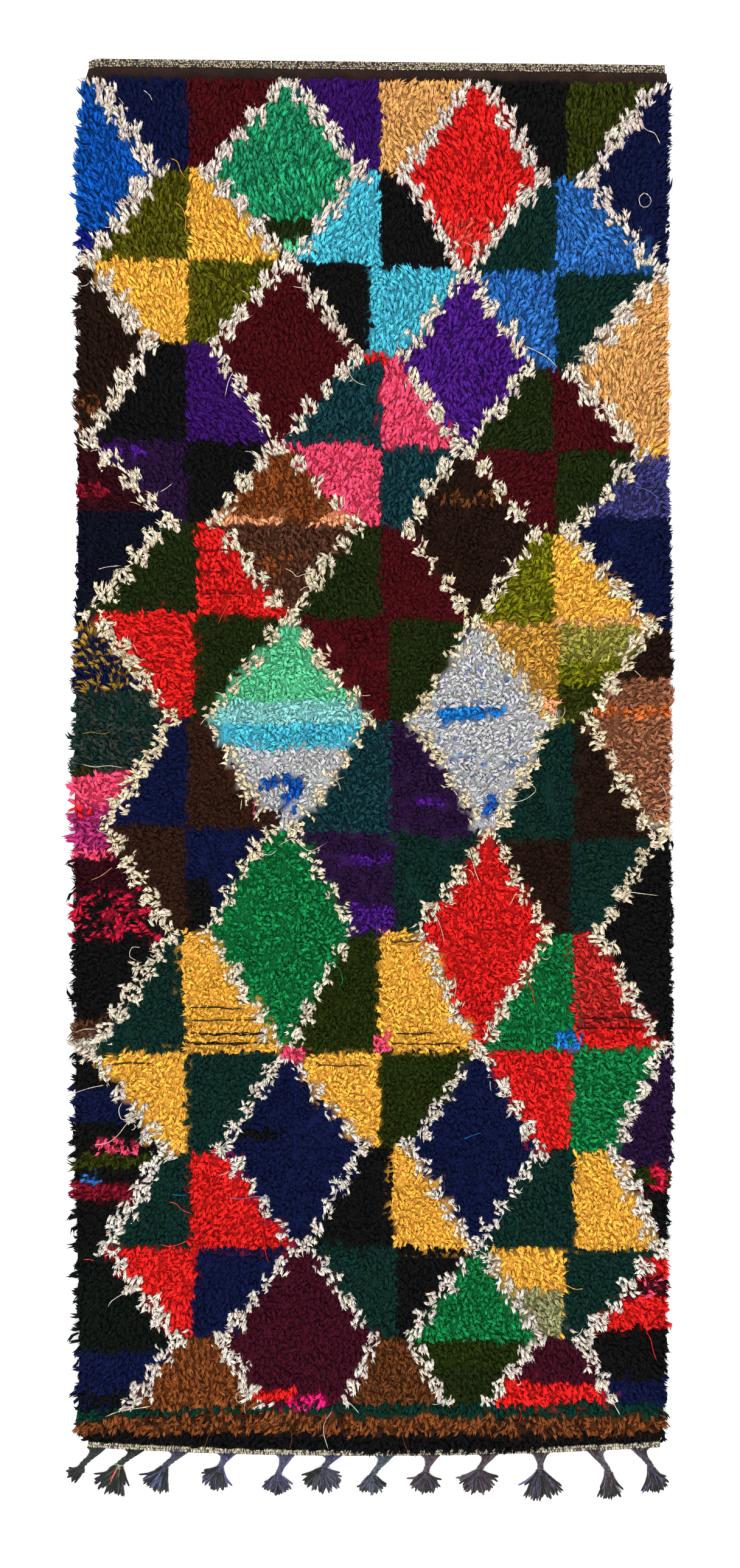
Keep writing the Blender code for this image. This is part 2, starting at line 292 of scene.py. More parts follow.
# Lozenge and edge columns: where each colour begins, going down
bandColumns = {
    "leftEdge": [
        (1400, "royalBlue"), (1040, "navy"), (984, "darkBrown"), (642, "darkMaroon"), (505, "inkNavy"),
        (295, "mustardMix"), (168, "tealMix"), (13, "pink"), (-50, "magenta"), (-135, "pink"),
        (-152, "darkMaroon"), (-212, "crimsonMix"), (-304, "black"), (-452, "umber"), (-489, "cream"),
        (-520, "black"), (-586, "navy"), (-648, "black"), (-711, "mossOlive"), (-735, "black"),
        (-761, "darkCrimson"), (-792, "black"), (-886, "greenBlack"), (-1082, "navy"),
    ],
    "lozengeLeft": [
        (1400, "green"), (1058, "darkGreen"), (980, "maroon"), (642, "brown"), (498, "peach"),
        (482, "umber"), (315, "mint"), (150, "paleTurquoise"), (105, "turquoise"), (59, "paleGrey"),
        (-95, "leafGreen"), (-518, "navy"), (-886, "aubergine"),
    ],
    "lozengeRight": [
        (1400, "red"), (970, "violet"), (629, "darkBrown"), (300, "paleGrey"), (-107, "red"),
        (-513, "navy"), (-885, "leafGreen"), (-1063, "darkOlive"), (-1110, "darkGreen"),
    ],
    "rightEdge": [
        (1400, "navy"), (954, "tan"), (612, "purpleBlue"), (493, "navy"), (280, "darkBrown"), (195, "rust"),
        (139, "orange"), (118, "rust"), (-78, "cream"), (-118, "black"), (-508, "darkPurple"),
        (-735, "darkOlive"), (-771, "black"), (-900, "red"), (-941, "roseMix"), (-977, "red"),
        (-1038, "black"), (-1131, "navy"),
    ],
}
# Stripes under the last lozenges, in millimetres: how low each one reaches at seven spots across
endStripes = {
    "spots": (-550, -400, -240, 0, 290, 450, 550),
    "greenFoot": (-1212, -1198, -1197, -1204, -1201, -1205, -1203),
    "orangeFoot": (-1237, -1240, -1235, -1240, -1238, -1243, -1226),
}
# Small places knotted in another colour. Where "on" is given, they show on that colour alone.
accents = [
    {"x": -157, "y": 1036, "wide": 69, "tall": 46, "yarn": "deepGreen", "on": "green", "share": 0.85},
    {"x": -153, "y": 1008, "wide": 32, "tall": 18, "yarn": "mint"},
    {"x": -545, "y": 1013, "wide": 60, "tall": 46, "yarn": "ultramarine", "on": "navy"},
    {"x": 200, "y": 1024, "wide": 126, "tall": 80, "yarn": "coral", "on": "red", "share": 0.5},
    {"x": -542, "y": 696, "wide": 76, "tall": 69, "yarn": "walnut", "on": "darkBrown", "share": 0.6},
    {"x": -467, "y": 622, "wide": 84, "tall": 18, "yarn": "violet", "on": "darkPurple", "share": 0.8},
    {"x": -542, "y": 547, "wide": 84, "tall": 26, "yarn": "darkCrimson", "share": 0.85},
    {"x": -135, "y": 491, "wide": 74, "tall": 22, "yarn": "brown", "on": "peach", "share": 0.85},
    {"x": -180, "y": 409, "wide": 62, "tall": 42, "yarn": "brown", "on": "umber", "share": 0.6},
    {"x": 4, "y": 797, "wide": 42, "tall": 18, "yarn": "red"},
    {"x": 532, "y": 623, "wide": 52, "tall": 22, "yarn": "yellow", "on": "tan"},
    {"x": 185, "y": 532, "wide": 138, "tall": 26, "yarn": "walnut", "on": "darkBrown", "share": 0.65},
    {"x": 430, "y": 297, "wide": 170, "tall": 16, "yarn": "tan", "on": "yellow", "share": 0.8},
    {"x": 250, "y": 288, "wide": 100, "tall": 16, "yarn": "tan", "on": "ochre", "share": 0.8},
    {"x": -544, "y": 17, "wide": 40, "tall": 20, "yarn": "darkGreen"},
    {"x": -548, "y": -61, "wide": 30, "tall": 16, "yarn": "red"},
    {"x": -199, "y": -5, "wide": 40, "tall": 22, "yarn": "royalBlue"},
    {"x": -147, "y": -8, "wide": 36, "tall": 32, "yarn": "royalBlue", "share": 0.9},
    {"x": -153, "y": -43, "wide": 38, "tall": 36, "yarn": "royalBlue", "share": 0.8},
    {"x": -195, "y": -75, "wide": 46, "tall": 34, "yarn": "barkBrown", "share": 0.9},
    {"x": -334, "y": -237, "wide": 62, "tall": 106, "yarn": "black", "on": "navy"},
    {"x": 353, "y": 135, "wide": 58, "tall": 28, "yarn": "peach", "on": "ochre"},
    {"x": 418, "y": 202, "wide": 180, "tall": 46, "yarn": "limeOlive", "on": "sage"},
    {"x": 418, "y": 148, "wide": 180, "tall": 62, "yarn": "mossOlive", "on": "sage"},
    {"x": 190, "y": 124, "wide": 124, "tall": 22, "yarn": "azure", "on": "paleGrey"},
    {"x": 224, "y": 32, "wide": 130, "tall": 26, "yarn": "slateBlue", "on": "paleGrey", "share": 0.2},
    {"x": 190, "y": 200, "wide": 180, "tall": 400, "yarn": "slateBlue", "on": "paleGrey", "share": 0.03},
    {"x": 223, "y": -51, "wide": 26, "tall": 44, "yarn": "royalBlue", "share": 0.75},
    {"x": 106, "y": -41, "wide": 54, "tall": 22, "yarn": "violet", "on": "darkPurple", "share": 0.9},
    {"x": -15, "y": -152, "wide": 96, "tall": 22, "yarn": "violet", "on": "darkPurple", "share": 0.8},
    {"x": -24, "y": -266, "wide": 124, "tall": 58, "yarn": "violet", "on": "darkPurple", "share": 0.9},
    {"x": -488, "y": -693, "wide": 84, "tall": 32, "yarn": "pink", "on": "black", "share": 0.6},
    {"x": -530, "y": -757, "wide": 42, "tall": 13, "yarn": "blue"},
    {"x": -149, "y": -520, "wide": 44, "tall": 26, "yarn": "pink"},
    {"x": -214, "y": -673, "wide": 92, "tall": 22, "yarn": "black", "on": "navy", "share": 0.7},
    {"x": 17, "y": -499, "wide": 32, "tall": 34, "yarn": "pink"},
    {"x": 376, "y": -492, "wide": 56, "tall": 28, "yarn": "azure", "share": 0.75},
    {"x": 461, "y": -486, "wide": 190, "tall": 46, "yarn": "red", "on": "brickRed"},
    {"x": 548, "y": -755, "wide": 40, "tall": 40, "yarn": "crimson", "share": 0.8},
    {"x": -513, "y": -1176, "wide": 120, "tall": 34, "yarn": "black", "on": "navy", "share": 0.8},
    {"x": -185, "y": -1161, "wide": 88, "tall": 18, "yarn": "red"},
    {"x": -124, "y": -1176, "wide": 88, "tall": 24, "yarn": "hotPink", "share": 0.9},
    {"x": 295, "y": -1011, "wide": 130, "tall": 90, "yarn": "paleSage", "on": "yellow"},
    {"x": 332, "y": -1161, "wide": 250, "tall": 44, "yarn": "red", "on": "aubergine"},
]
# The cream zigzags, in millimetres. Each step is a block, and its breadth changes along the rug and by line.
zigzag = {
    "blockTall": 35.5,
    "blockHalf": 13.5,
    "tipHalf": 16,
    "spotsY": (-1250, -900, -700, -520, -430, -150, 150, 300, 600, 900, 1300),
    "breadth": (1.06, 1.06, 1.05, 0.99, 0.94, 0.94, 0.99, 1.04, 1.05, 1.10, 1.24),
    "lineBreadth": (1.35, 1.0, 1.0, 1.0, 1.0, 1.18),
    "sideways": 3.0,
    "swell": 0.28,
    "wobble": 5.2,
    "wobbleSpan": 0.045,
    "seed": 77,
}
# Smooth noise is cut at a height of its own for each use, so that no two look alike
noiseHeight = {
    "lattice": 3.7, "broadHeap": 0.0, "fineHeap": 5.0, "broadComb": 9.0, "fineComb": 14.0, "dye": 21.0,
    "bed": 31.0, "scallop": 41.0, "twine": 51.0, "parting": 71.0,
}

yarnNames = list(yarns)


def linearColour(rgb):
    share = np.asarray(rgb, float) / 255
    return np.where(share <= 0.04045, share / 12.92, ((share + 0.055) / 1.055) ** 2.4)


yarnLinear = np.array([linearColour(yarns[name]) for name in yarnNames])


def smoothNoise(x, y, span, use):
    height = noiseHeight[use]
    spots = zip(np.divide(x, span), np.divide(y, span))
    return np.array([noise.noise_vector(Vector((across, along, height))) for across, along in spots])


def bandPick(bands, y):
    tops = np.array([top for top, _ in bands])
    index = np.clip((tops[:, None] >= y).sum(axis=0) - 1, 0, len(bands) - 1)
    return np.array([yarnNumber(name) for _, name in bands])[index]


def yarnNumber(name):
    # Mixed patches are numbered after the plain yarns
    return yarnNames.index(name) if name in yarns else len(yarns) + list(mixedYarns).index(name)


def crossZigzags(spotX, spotY, levelY, half):
    # How many zigzags lie to the left of each place, and which places are on one
    lineX = np.array([level["lines"] for level in levels], float)
    spot = np.arange(len(spotX))
    upper = levelY[half, spot]
    lower = levelY[half + 1, spot]
    share = np.clip((upper - spotY) / (upper - lower), 0, 1)
    steps = np.maximum(np.round((upper - lower) / zigzag["blockTall"]), 2)
    block = np.floor(share * steps + 0.5).astype(int)
    placeRng = np.random.default_rng(zigzag["seed"])
    blocks = (len(levels), lineX.shape[1], 9)
    nudge = placeRng.uniform(-1, 1, blocks) * zigzag["sideways"]
    swell = placeRng.uniform(-1, 1, blocks) * zigzag["swell"]
    breadth = np.interp(spotY, zigzag["spotsY"], zigzag["breadth"])
    region = np.zeros(len(spotX), int)
    cream = np.zeros(len(spotX), bool)
    for line in range(lineX.shape[1]):
        start = lineX[half, line]
        finish = lineX[half + 1, line]
        middle = start + (finish - start) * block / steps + nudge[half, line, block]
        closing = ((half % 2 == 0) & (block == 0)) | ((half % 2 == 1) & (block == steps))
        tip = closing & (0 < line < lineX.shape[1] - 1)
        blockHalf = np.where(tip, zigzag["tipHalf"], zigzag["blockHalf"]) * (1 + swell[half, line, block])
        blockHalf *= breadth * zigzag["lineBreadth"][line]
        cream |= np.abs(spotX - middle) < blockHalf
        region += spotX > middle
    return region, cream


def patchYarn(spotX, spotY, region, half):
    # The yarn of the lozenge or split patch at each place
    found = np.zeros(len(spotX), int)
    for column, bands in enumerate(bandColumns.values()):
        inside = region == 2 * column
        found[inside] = bandPick(bands, spotY[inside])
    for column, rows in enumerate(splitColumns):
        inside = region == 2 * column + 1
        left = np.array([yarnNumber(row[0]) for row in rows])[half[inside]]
        right = np.array([yarnNumber(row[1]) for row in rows])[half[inside]]
        meet = np.array([row[2] for row in rows])[half[inside]]
        found[inside] = np.where(spotX[inside] < meet, left, right)
    return found


def stripeYarn(spotX, spotY):
    # The yarn of the stripes under the last lozenges
    greenFoot = np.interp(spotX, endStripes["spots"], endStripes["greenFoot"])
    orangeFoot = np.interp(spotX, endStripes["spots"], endStripes["orangeFoot"])
    stripe = np.where(spotY > greenFoot, yarnNumber("bottleGreen"), yarnNumber("orangeMix"))
    return np.where(spotY > orangeFoot, stripe, yarnNumber("black"))


def latticeYarn(x, y, picks, lined=True):
    # Which yarn is knotted at each place, in metres. picks is one random share for each.
    # Without lined, the patches go on under the cream zigzags.
    wobble = smoothNoise(x, y, zigzag["wobbleSpan"], "lattice") * zigzag["wobble"]
    spotX = x * 1000 + wobble[:, 0]
    spotY = y * 1000 + wobble[:, 1]
    levelY = np.array([np.interp(spotX, levelSpots, level["y"]) for level in levels])
    half = np.clip((levelY > spotY).sum(axis=0) - 1, 0, len(levels) - 2)
    region, cream = crossZigzags(spotX, spotY, levelY, half)
    found = patchYarn(spotX, spotY, region, half)
    found[cream & lined] = yarnNumber("cream")
    found = np.where(spotY < levelY[-1], stripeYarn(spotX, spotY), found)
    for number, (first, second, part) in enumerate(mixedYarns.values(), len(yarns)):
        mixed = found == number
        found[mixed] = np.where(picks[mixed] < part, yarnNumber(second), yarnNumber(first))
    for spot in accents:
        near = (np.abs(spotX - spot["x"]) < spot["wide"] / 2) & (np.abs(spotY - spot["y"]) < spot["tall"] / 2)
        near &= picks < spot.get("share", 1)
        if "on" in spot:
            near &= found == yarnNumber(spot["on"])
        found[near] = yarnNumber(spot["yarn"])
    return found


toneSteps = {
    "luminance": (0.005, 0.012, 0.034, 0.08, 0.14, 0.2, 0.27, 0.4, 0.55, 0.6),
    "strength": (0.2, 0.25, 1.0, 1.3, 1.5, 1.7, 1.3, 0.8, 0.7, 1.1),
}


def woolColour(picked, y):
    colours = yarnLinear[picked]
    cream = picked == yarnNumber("cream")
    tones = np.array(creamTones["tones"], float)
    blend = [np.interp(y[cream], creamTones["y"], tones[:, channel]) for channel in range(3)]
    colours[cream] = linearColour(np.stack(blend, axis=1))
    return colours


def toneStrength(colours):
    # How much light and shade shows between the tufts: little in dark and in pale wool, most in red and green
    return np.interp(colours @ (0.21, 0.72, 0.07), toneSteps["luminance"], toneSteps["strength"])


# Small shapes that are copied many times


def newShape():
    bm = bmesh.new()
    return bm, bm.loops.layers.uv.new("OFBake"), bm.loops.layers.uv.new("yarnRun")


def drawRing(bm, edges):
    # One more ring of a tube, a unit further along Z
    made = bmesh.ops.extrude_edge_only(bm, edges=edges)["geom"]
    rim = [item for item in made if isinstance(item, bmesh.types.BMVert)]
    bmesh.ops.translate(bm, verts=rim, vec=(0, 0, 1))
    return rim, edgesWithin(made, rim)


def edgesWithin(made, verts):
    edges = [item for item in made if isinstance(item, bmesh.types.BMEdge)]
    return [edge for edge in edges if all(vert in verts for vert in edge.verts)]


def readTemplate(bm):
    bm.verts.index_update()
    flat = bm.loops.layers.uv["OFBake"]
    run = bm.loops.layers.uv["yarnRun"]
    shape = {
        "points": np.array([vert.co[:] for vert in bm.verts]),
        "corners": np.array([vert.index for face in bm.faces for vert in face.verts]),
        "sizes": np.array([len(face.verts) for face in bm.faces]),
        "flat": np.array([loop[flat].uv[:] for face in bm.faces for loop in face.loops]),
        "run": np.array([loop[run].uv[:] for face in bm.faces for loop in face.loops]),
    }
    bm.free()
    return shape


def yarnShape(sides, rings):
    # A closed tube along Z: one unit between rings, pointed at its far end.
    # On the flat map its root lies in a strip at the foot, and its side fills the rest.
    bm, layer, run = newShape()
    bmesh.ops.create_circle(bm, cap_ends=True, segments=sides, radius=1)
    edges = list(bm.edges)
    for _ in range(rings):
        rim, edges = drawRing(bm, edges)
    bmesh.ops.pointmerge(bm, verts=rim, merge_co=(0, 0, rings))
    bmesh.ops.recalc_face_normals(bm, faces=bm.faces)
    for face in bm.faces:
        middle = face.calc_center_median()
        turn = math.atan2(middle.y, middle.x)
        root = len({round(vert.co.z) for vert in face.verts}) == 1
        for loop in face.loops:
            co = loop.vert.co
            if root:
                loop[layer].uv = (0.5 + 0.3 * co.x, 0.04 + 0.03 * co.y)
                continue
            around = (math.atan2(co.y, co.x) - turn + math.pi) % (2 * math.pi) - math.pi
            if co.xy.length < 0.5:
                around = 0
            loop[layer].uv = ((turn + around) / (2.4 * math.pi) + 0.5, 0.1 + 0.9 * co.z / rings)
            loop[run].uv = ((turn + around) / (2 * math.pi), co.z / rings)
    return readTemplate(bm)


pointApart = 0.62  # how far a lock's two points stand to either side, as a share of its half width


def lockShape(rings):
    # A flat closed lock along Z, one unit between rings, which splits into two points at its far end.
    # On the flat map its root lies at the foot, its two faces side by side above, and the cleft on top.
    bm, layer, run = newShape()
    bmesh.ops.create_circle(bm, cap_ends=True, segments=3, radius=1)
    edges = list(bm.edges)
    for _ in range(rings - 1):
        _, edges = drawRing(bm, edges)
    under = min(edges, key=lambda edge: edge.verts[0].co.y + edge.verts[1].co.y)
    bmesh.ops.subdivide_edges(bm, edges=[under], cuts=1)
    edges = [edge for edge in bm.edges if edge.is_boundary]
    ends = [vert for vert in bm.verts if vert.is_boundary]
    bmesh.ops.edgeloop_fill(bm, edges=edges)
    middle = [vert for vert in ends if abs(vert.co.x) < 0.1]
    bmesh.ops.connect_verts(bm, verts=middle)
    caps = [face for face in bm.faces if all(vert in ends for vert in face.verts)]
    points = bmesh.ops.poke(bm, faces=caps)["verts"]
    for vert in points:
        vert.co = (math.copysign(pointApart, vert.co.x), 0, rings)
    bmesh.ops.recalc_face_normals(bm, faces=bm.faces)
    for face in bm.faces:
        heights = {round(vert.co.z) for vert in face.verts}
        cleft = rings in heights and sum(abs(vert.co.x) < 0.1 for vert in face.verts) == 2
        below = face.calc_center_median().y < -0.2 and not cleft
        for loop in face.loops:
            co = loop.vert.co
            loop[run].uv = (0.5 + 0.5 * co.x, co.z / rings)
            if heights == {0}:
                loop[layer].uv = (0.5 + 0.4 * co.x, 0.03 + 0.025 * co.y)
            elif cleft:
                side = max(face.verts, key=lambda vert: abs(vert.co.x)).co.x
                column = 0.5 + math.copysign(0.25, side)
                loop[layer].uv = (column + 0.18 * co.y, 0.86 + 0.13 * (co.z - rings + 1))
            else:
                loop[layer].uv = (0.25 + 0.5 * below + 0.24 * co.x, 0.08 + 0.76 * co.z / rings)
    return readTemplate(bm)


def beadShape(segments, rings):
    # A round bead. On the flat map its upper half lies left and its lower half right.
    bm, layer, run = newShape()
    bmesh.ops.create_uvsphere(bm, u_segments=segments, v_segments=rings, radius=1)
    for face in bm.faces:
        under = face.calc_center_median().z < 0
        for loop in face.loops:
            co = loop.vert.co
            reach = 0.16 * (1 + 0.4 * (1 - abs(co.z)))
            loop[layer].uv = (0.25 + 0.5 * under + reach * co.x, 0.5 + reach * co.y)
            loop[run].uv = (0.5 + 0.5 * co.y, 0.5 + 0.5 * co.x)
    return readTemplate(bm)


strandShift = {"step": 7, "wrap": 997}  # moves each copy to strands of its own
cellMargin = 0.08


def joinCopies(name, parts, material):
    # One mesh of every copy in parts, each with its colour at every point and its own cell of the flat map
    total = sum(len(part["places"]) for part in parts)
    across = math.ceil(math.sqrt(total))
    points, corners, starts, colours, flats, runs = [], [], [], [], [], []
    pointCount = cornerCount = copyCount = 0
    for part in parts:
        shape, places = part["shape"], part["places"]
        count, size = places.shape[:2]
        copy = np.arange(count)[:, None]
        points.append(places.reshape(-1, 3))
        colours.append(part["colours"].reshape(-1, 3))
        corners.append((shape["corners"] + copy * size + pointCount).ravel())
        begins = np.cumsum(shape["sizes"]) - shape["sizes"]
        starts.append((begins + copy * len(shape["corners"]) + cornerCount).ravel())
        cell = copyCount + copy
        inCell = cellMargin + (1 - 2 * cellMargin) * shape["flat"]
        flatX = (cell % across + inCell[:, 0]) / across
        flatY = (cell // across + inCell[:, 1]) / across
        flats.append(np.stack([flatX, flatY], axis=-1).reshape(-1, 2))
        strands = np.tile(shape["run"], (count, 1))
        shift = (copyCount + np.arange(count)) * strandShift["step"] % strandShift["wrap"]
        strands[:, 0] += np.repeat(shift, len(shape["run"]))
        runs.append(strands)
        pointCount += count * size
        cornerCount += count * len(shape["corners"])
        copyCount += count
    points, corners, starts = np.concatenate(points), np.concatenate(corners), np.concatenate(starts)
    mesh = bpy.data.meshes.new(name)
    mesh.vertices.add(len(points))
    mesh.vertices.foreach_set("co", points.astype(np.float32).ravel())
    mesh.loops.add(len(corners))
    mesh.loops.foreach_set("vertex_index", corners.astype(np.int32))
    mesh.polygons.add(len(starts))
    mesh.polygons.foreach_set("loop_start", starts.astype(np.int32))
    mesh.polygons.foreach_set("use_smooth", np.ones(len(starts), bool))
    mesh.update(calc_edges=True)
    flat = mesh.uv_layers.new(name="OFBake")
    flat.data.foreach_set("uv", np.concatenate(flats).astype(np.float32).ravel())
    run = mesh.uv_layers.new(name="yarnRun")
    run.data.foreach_set("uv", np.concatenate(runs).astype(np.float32).ravel())
    paint = mesh.color_attributes.new(name="yarnColour", type="FLOAT_COLOR", domain="POINT")
    rgba = np.ones((len(points), 4), np.float32)
    rgba[:, :3] = np.concatenate(colours)
    paint.data.foreach_set("color", rgba.ravel())
    mesh.materials.append(material)
    obj = bpy.data.objects.new(name, mesh)
    bpy.context.scene.collection.objects.link(obj)
    mesh.validate()
    return obj


def yarnPlaces(shape, lines, radii, sideways=None, press=1.0):
    # Points of a yarn shape bent along each line. lines is (copies, rings + 1, 3), radii (copies, rings + 1).
    ahead = np.empty_like(lines)
    ahead[:, 1:-1] = lines[:, 2:] - lines[:, :-2]
    ahead[:, 0] = lines[:, 1] - lines[:, 0]
    ahead[:, -1] = lines[:, -1] - lines[:, -2]
    ahead /= np.linalg.norm(ahead, axis=2, keepdims=True) + 1e-9
    if sideways is None:
        side = np.cross(ahead, (0, 0, 1.0))
        side /= np.linalg.norm(side, axis=2, keepdims=True) + 1e-9
    else:
        side = np.repeat(sideways[:, None, :], lines.shape[1], axis=1)
    over = np.cross(side, ahead)
    ring = np.round(shape["points"][:, 2]).astype(int)
    x = shape["points"][:, 0][None, :, None]
    y = shape["points"][:, 1][None, :, None]
    thick = radii[:, ring][:, :, None]
    return lines[:, ring] + (side[:, ring] * x + over[:, ring] * y * press) * thick


def paintRings(shape, colours, along):
    # The yarn's colour at each point, times the painted shading given for that ring: shade below 1, highlight
    # above 1
    ring = np.round(shape["points"][:, 2]).astype(int)
    return colours[:, None, :] * along[:, ring][:, :, None]


# Wool: what every yarn material shares. Plies run along each yarn's own map, and fine fibres cover it all.
fibreLook = {
    "detail": 2, "bendScale": 190, "bendTurns": 1.8, "strandTone": 0.8, "dullest": 0.96, "shiniest": 0.80,
    "bumpHeight": 0.0009,
}


def addMath(nodes, links, operation, first, second, third=None, place=(0, 0)):
    node = nodes.new("ShaderNodeMath")
    node.operation = operation
    node.location = place
    for slot, value in enumerate((first, second, third)):
        if value is None:
            continue
        if isinstance(value, (int, float)):
            node.inputs[slot].default_value = value
        else:
            links.new(value, node.inputs[slot])
    return node.outputs[0]


def woolGroup():
    group = bpy.data.node_groups.new("woolFibre", "ShaderNodeTree")
    group.interface.new_socket("Colour", in_out="INPUT", socket_type="NodeSocketColor")
    for name, value in (
        ("Fibre Scale", 900.0),
        ("Stretch", 1.0),
        ("Contrast", 0.35),
        ("Depth", 0.4),
        ("Plies", 4.0),
        ("Twist", 3.0),
        ("Ply Contrast", 0.3),
        ("Ply Depth", 0.5),
    ):
        socket = group.interface.new_socket(name, in_out="INPUT", socket_type="NodeSocketFloat")
        socket.default_value = value
    group.interface.new_socket("Colour", in_out="OUTPUT", socket_type="NodeSocketColor")
    group.interface.new_socket("Roughness", in_out="OUTPUT", socket_type="NodeSocketFloat")
    group.interface.new_socket("Normal", in_out="OUTPUT", socket_type="NodeSocketVector")
    nodes, links = group.nodes, group.links
    given = nodes.new("NodeGroupInput")
    given.location = (-1500, 0)
    place = nodes.new("ShaderNodeTexCoord")
    place.location = (-1500, -300)
    squeeze = nodes.new("ShaderNodeCombineXYZ")
    squeeze.location = (-1300, -420)
    squeeze.inputs[0].default_value = 1
    squeeze.inputs[2].default_value = 1
    links.new(given.outputs["Stretch"], squeeze.inputs[1])
    drawn = nodes.new("ShaderNodeVectorMath")
    drawn.operation = "MULTIPLY"
    drawn.location = (-1120, -320)
    links.new(place.outputs["Object"], drawn.inputs[0])
    links.new(squeeze.outputs[0], drawn.inputs[1])
    fibre = nodes.new("ShaderNodeTexNoise")
    fibre.location = (-940, -260)
    fibre.inputs["Detail"].default_value = fibreLook["detail"]
    links.new(drawn.outputs[0], fibre.inputs["Vector"])
    links.new(given.outputs["Fibre Scale"], fibre.inputs["Scale"])

    run = nodes.new("ShaderNodeUVMap")
    run.uv_map = "yarnRun"
    run.location = (-1300, 320)
    apart = nodes.new("ShaderNodeSeparateXYZ")
    apart.location = (-1120, 320)
    links.new(run.outputs[0], apart.inputs[0])
    along, twist = apart.outputs[1], given.outputs["Twist"]
    around = addMath(nodes, links, "MULTIPLY", apart.outputs[0], given.outputs["Plies"], place=(-940, 380))
    turned = addMath(nodes, links, "MULTIPLY_ADD", along, twist, around, place=(-760, 380))
    bend = nodes.new("ShaderNodeTexNoise")
    bend.location = (-940, 600)
    bend.inputs["Scale"].default_value = fibreLook["bendScale"]
    bend.inputs["Detail"].default_value = 1
    links.new(place.outputs["Object"], bend.inputs["Vector"])
    bendTurns = fibreLook["bendTurns"]
    bent = addMath(nodes, links, "MULTIPLY_ADD", bend.outputs["Fac"], bendTurns, turned, place=(-580, 380))
    angle = addMath(nodes, links, "MULTIPLY", bent, 2 * math.pi, place=(-400, 380))
    ridge = addMath(nodes, links, "COSINE", angle, None, place=(-220, 380))
    # Each strand has a tone of its own
    shifted = addMath(nodes, links, "ADD", bent, 0.5, place=(-400, 560))
    number = addMath(nodes, links, "FLOOR", shifted, None, place=(-220, 560))
    strand = nodes.new("ShaderNodeTexWhiteNoise")
    strand.noise_dimensions = "1D"
    strand.location = (-40, 560)
    links.new(number, strand.inputs["W"])
    tone = addMath(nodes, links, "MULTIPLY_ADD", strand.outputs["Value"], 2, -1, place=(140, 560))
    both = addMath(nodes, links, "MULTIPLY_ADD", tone, fibreLook["strandTone"], ridge, place=(320, 480))

    # Painted shade: the colour is darker in the grooves between plies, and each strand keeps a tone of its
    # own
    plyContrast, contrast = given.outputs["Ply Contrast"], given.outputs["Contrast"]
    plyShade = addMath(nodes, links, "MULTIPLY_ADD", both, plyContrast, 1, place=(-20, 320))
    swing = addMath(nodes, links, "SUBTRACT", fibre.outputs["Fac"], 0.5, place=(-400, 40))
    shade = addMath(nodes, links, "MULTIPLY_ADD", swing, contrast, plyShade, place=(160, 160))
    tint = nodes.new("ShaderNodeVectorMath")
    tint.location = (340, 120)
    tint.operation = "SCALE"
    links.new(given.outputs["Colour"], tint.inputs[0])
    links.new(shade, tint.inputs["Scale"])
    dull = nodes.new("ShaderNodeMapRange")
    dull.location = (-220, -220)
    dull.inputs["To Min"].default_value = fibreLook["dullest"]
    dull.inputs["To Max"].default_value = fibreLook["shiniest"]
    links.new(fibre.outputs["Fac"], dull.inputs["Value"])
    depth = given.outputs["Depth"]
    plyHeight = addMath(nodes, links, "MULTIPLY", ridge, given.outputs["Ply Depth"], place=(-20, -60))
    height = addMath(nodes, links, "MULTIPLY_ADD", fibre.outputs["Fac"], depth, plyHeight, place=(160, -120))
    bump = nodes.new("ShaderNodeBump")
    bump.location = (340, -200)
    bump.inputs["Distance"].default_value = fibreLook["bumpHeight"]
    links.new(height, bump.inputs["Height"])
    result = nodes.new("NodeGroupOutput")
    result.location = (560, 0)
    links.new(tint.outputs[0], result.inputs["Colour"])
    links.new(dull.outputs[0], result.inputs["Roughness"])
    links.new(bump.outputs[0], result.inputs["Normal"])
    return group


woolFibre = woolGroup()
woolLooks = {
    "shagWool": {
        "sheen": 0.0, "shine": 0.05, "Fibre Scale": 700, "Stretch": 1, "Contrast": 0.5, "Depth": 0.5,
        "Plies": 3, "Twist": 0.4, "Ply Contrast": 0.14, "Ply Depth": 0.45,
    },
    "bedWool": {
        "sheen": 0.0, "shine": 0.04, "Fibre Scale": 330, "Stretch": 0.6, "Contrast": 2.6, "Depth": 3.0,
        "Plies": 0, "Twist": 0, "Ply Contrast": 0, "Ply Depth": 0,
    },
    "twineWool": {
        "sheen": 0.05, "shine": 0.15, "Fibre Scale": 1100, "Stretch": 1, "Contrast": 0.5, "Depth": 0.5,
        "Plies": 0, "Twist": 0, "Ply Contrast": 0, "Ply Depth": 0,
    },
    "warpWool": {
        "sheen": 0.06, "shine": 0.2, "Fibre Scale": 1300, "Stretch": 1, "Contrast": 0.6, "Depth": 0.5,
        "Plies": 2, "Twist": 5, "Ply Contrast": 0.15, "Ply Depth": 0.5,
    },
}


def woolMaterial(name):
    look = woolLooks[name]
    material = bpy.data.materials.new(name)
    material.use_nodes = True
    nodes, links = material.node_tree.nodes, material.node_tree.links
    shader = nodes["Principled BSDF"]
    shader.inputs["Sheen Weight"].default_value = look["sheen"]
    shader.inputs["Sheen Roughness"].default_value = 0.5
    shader.inputs["Specular IOR Level"].default_value = look["shine"]
    shade = nodes.new("ShaderNodeVertexColor")
    shade.layer_name = "yarnColour"
    shade.location = (-700, 200)
    wool = nodes.new("ShaderNodeGroup")
    wool.node_tree = woolFibre
    wool.location = (-400, 100)
    for socket in wool.inputs:
        if socket.name in look:
            socket.default_value = look[socket.name]
    links.new(shade.outputs["Color"], wool.inputs["Colour"])
    links.new(wool.outputs["Colour"], shader.inputs["Base Color"])
    links.new(wool.outputs["Roughness"], shader.inputs["Roughness"])
    links.new(wool.outputs["Normal"], shader.inputs["Normal"])
    return material


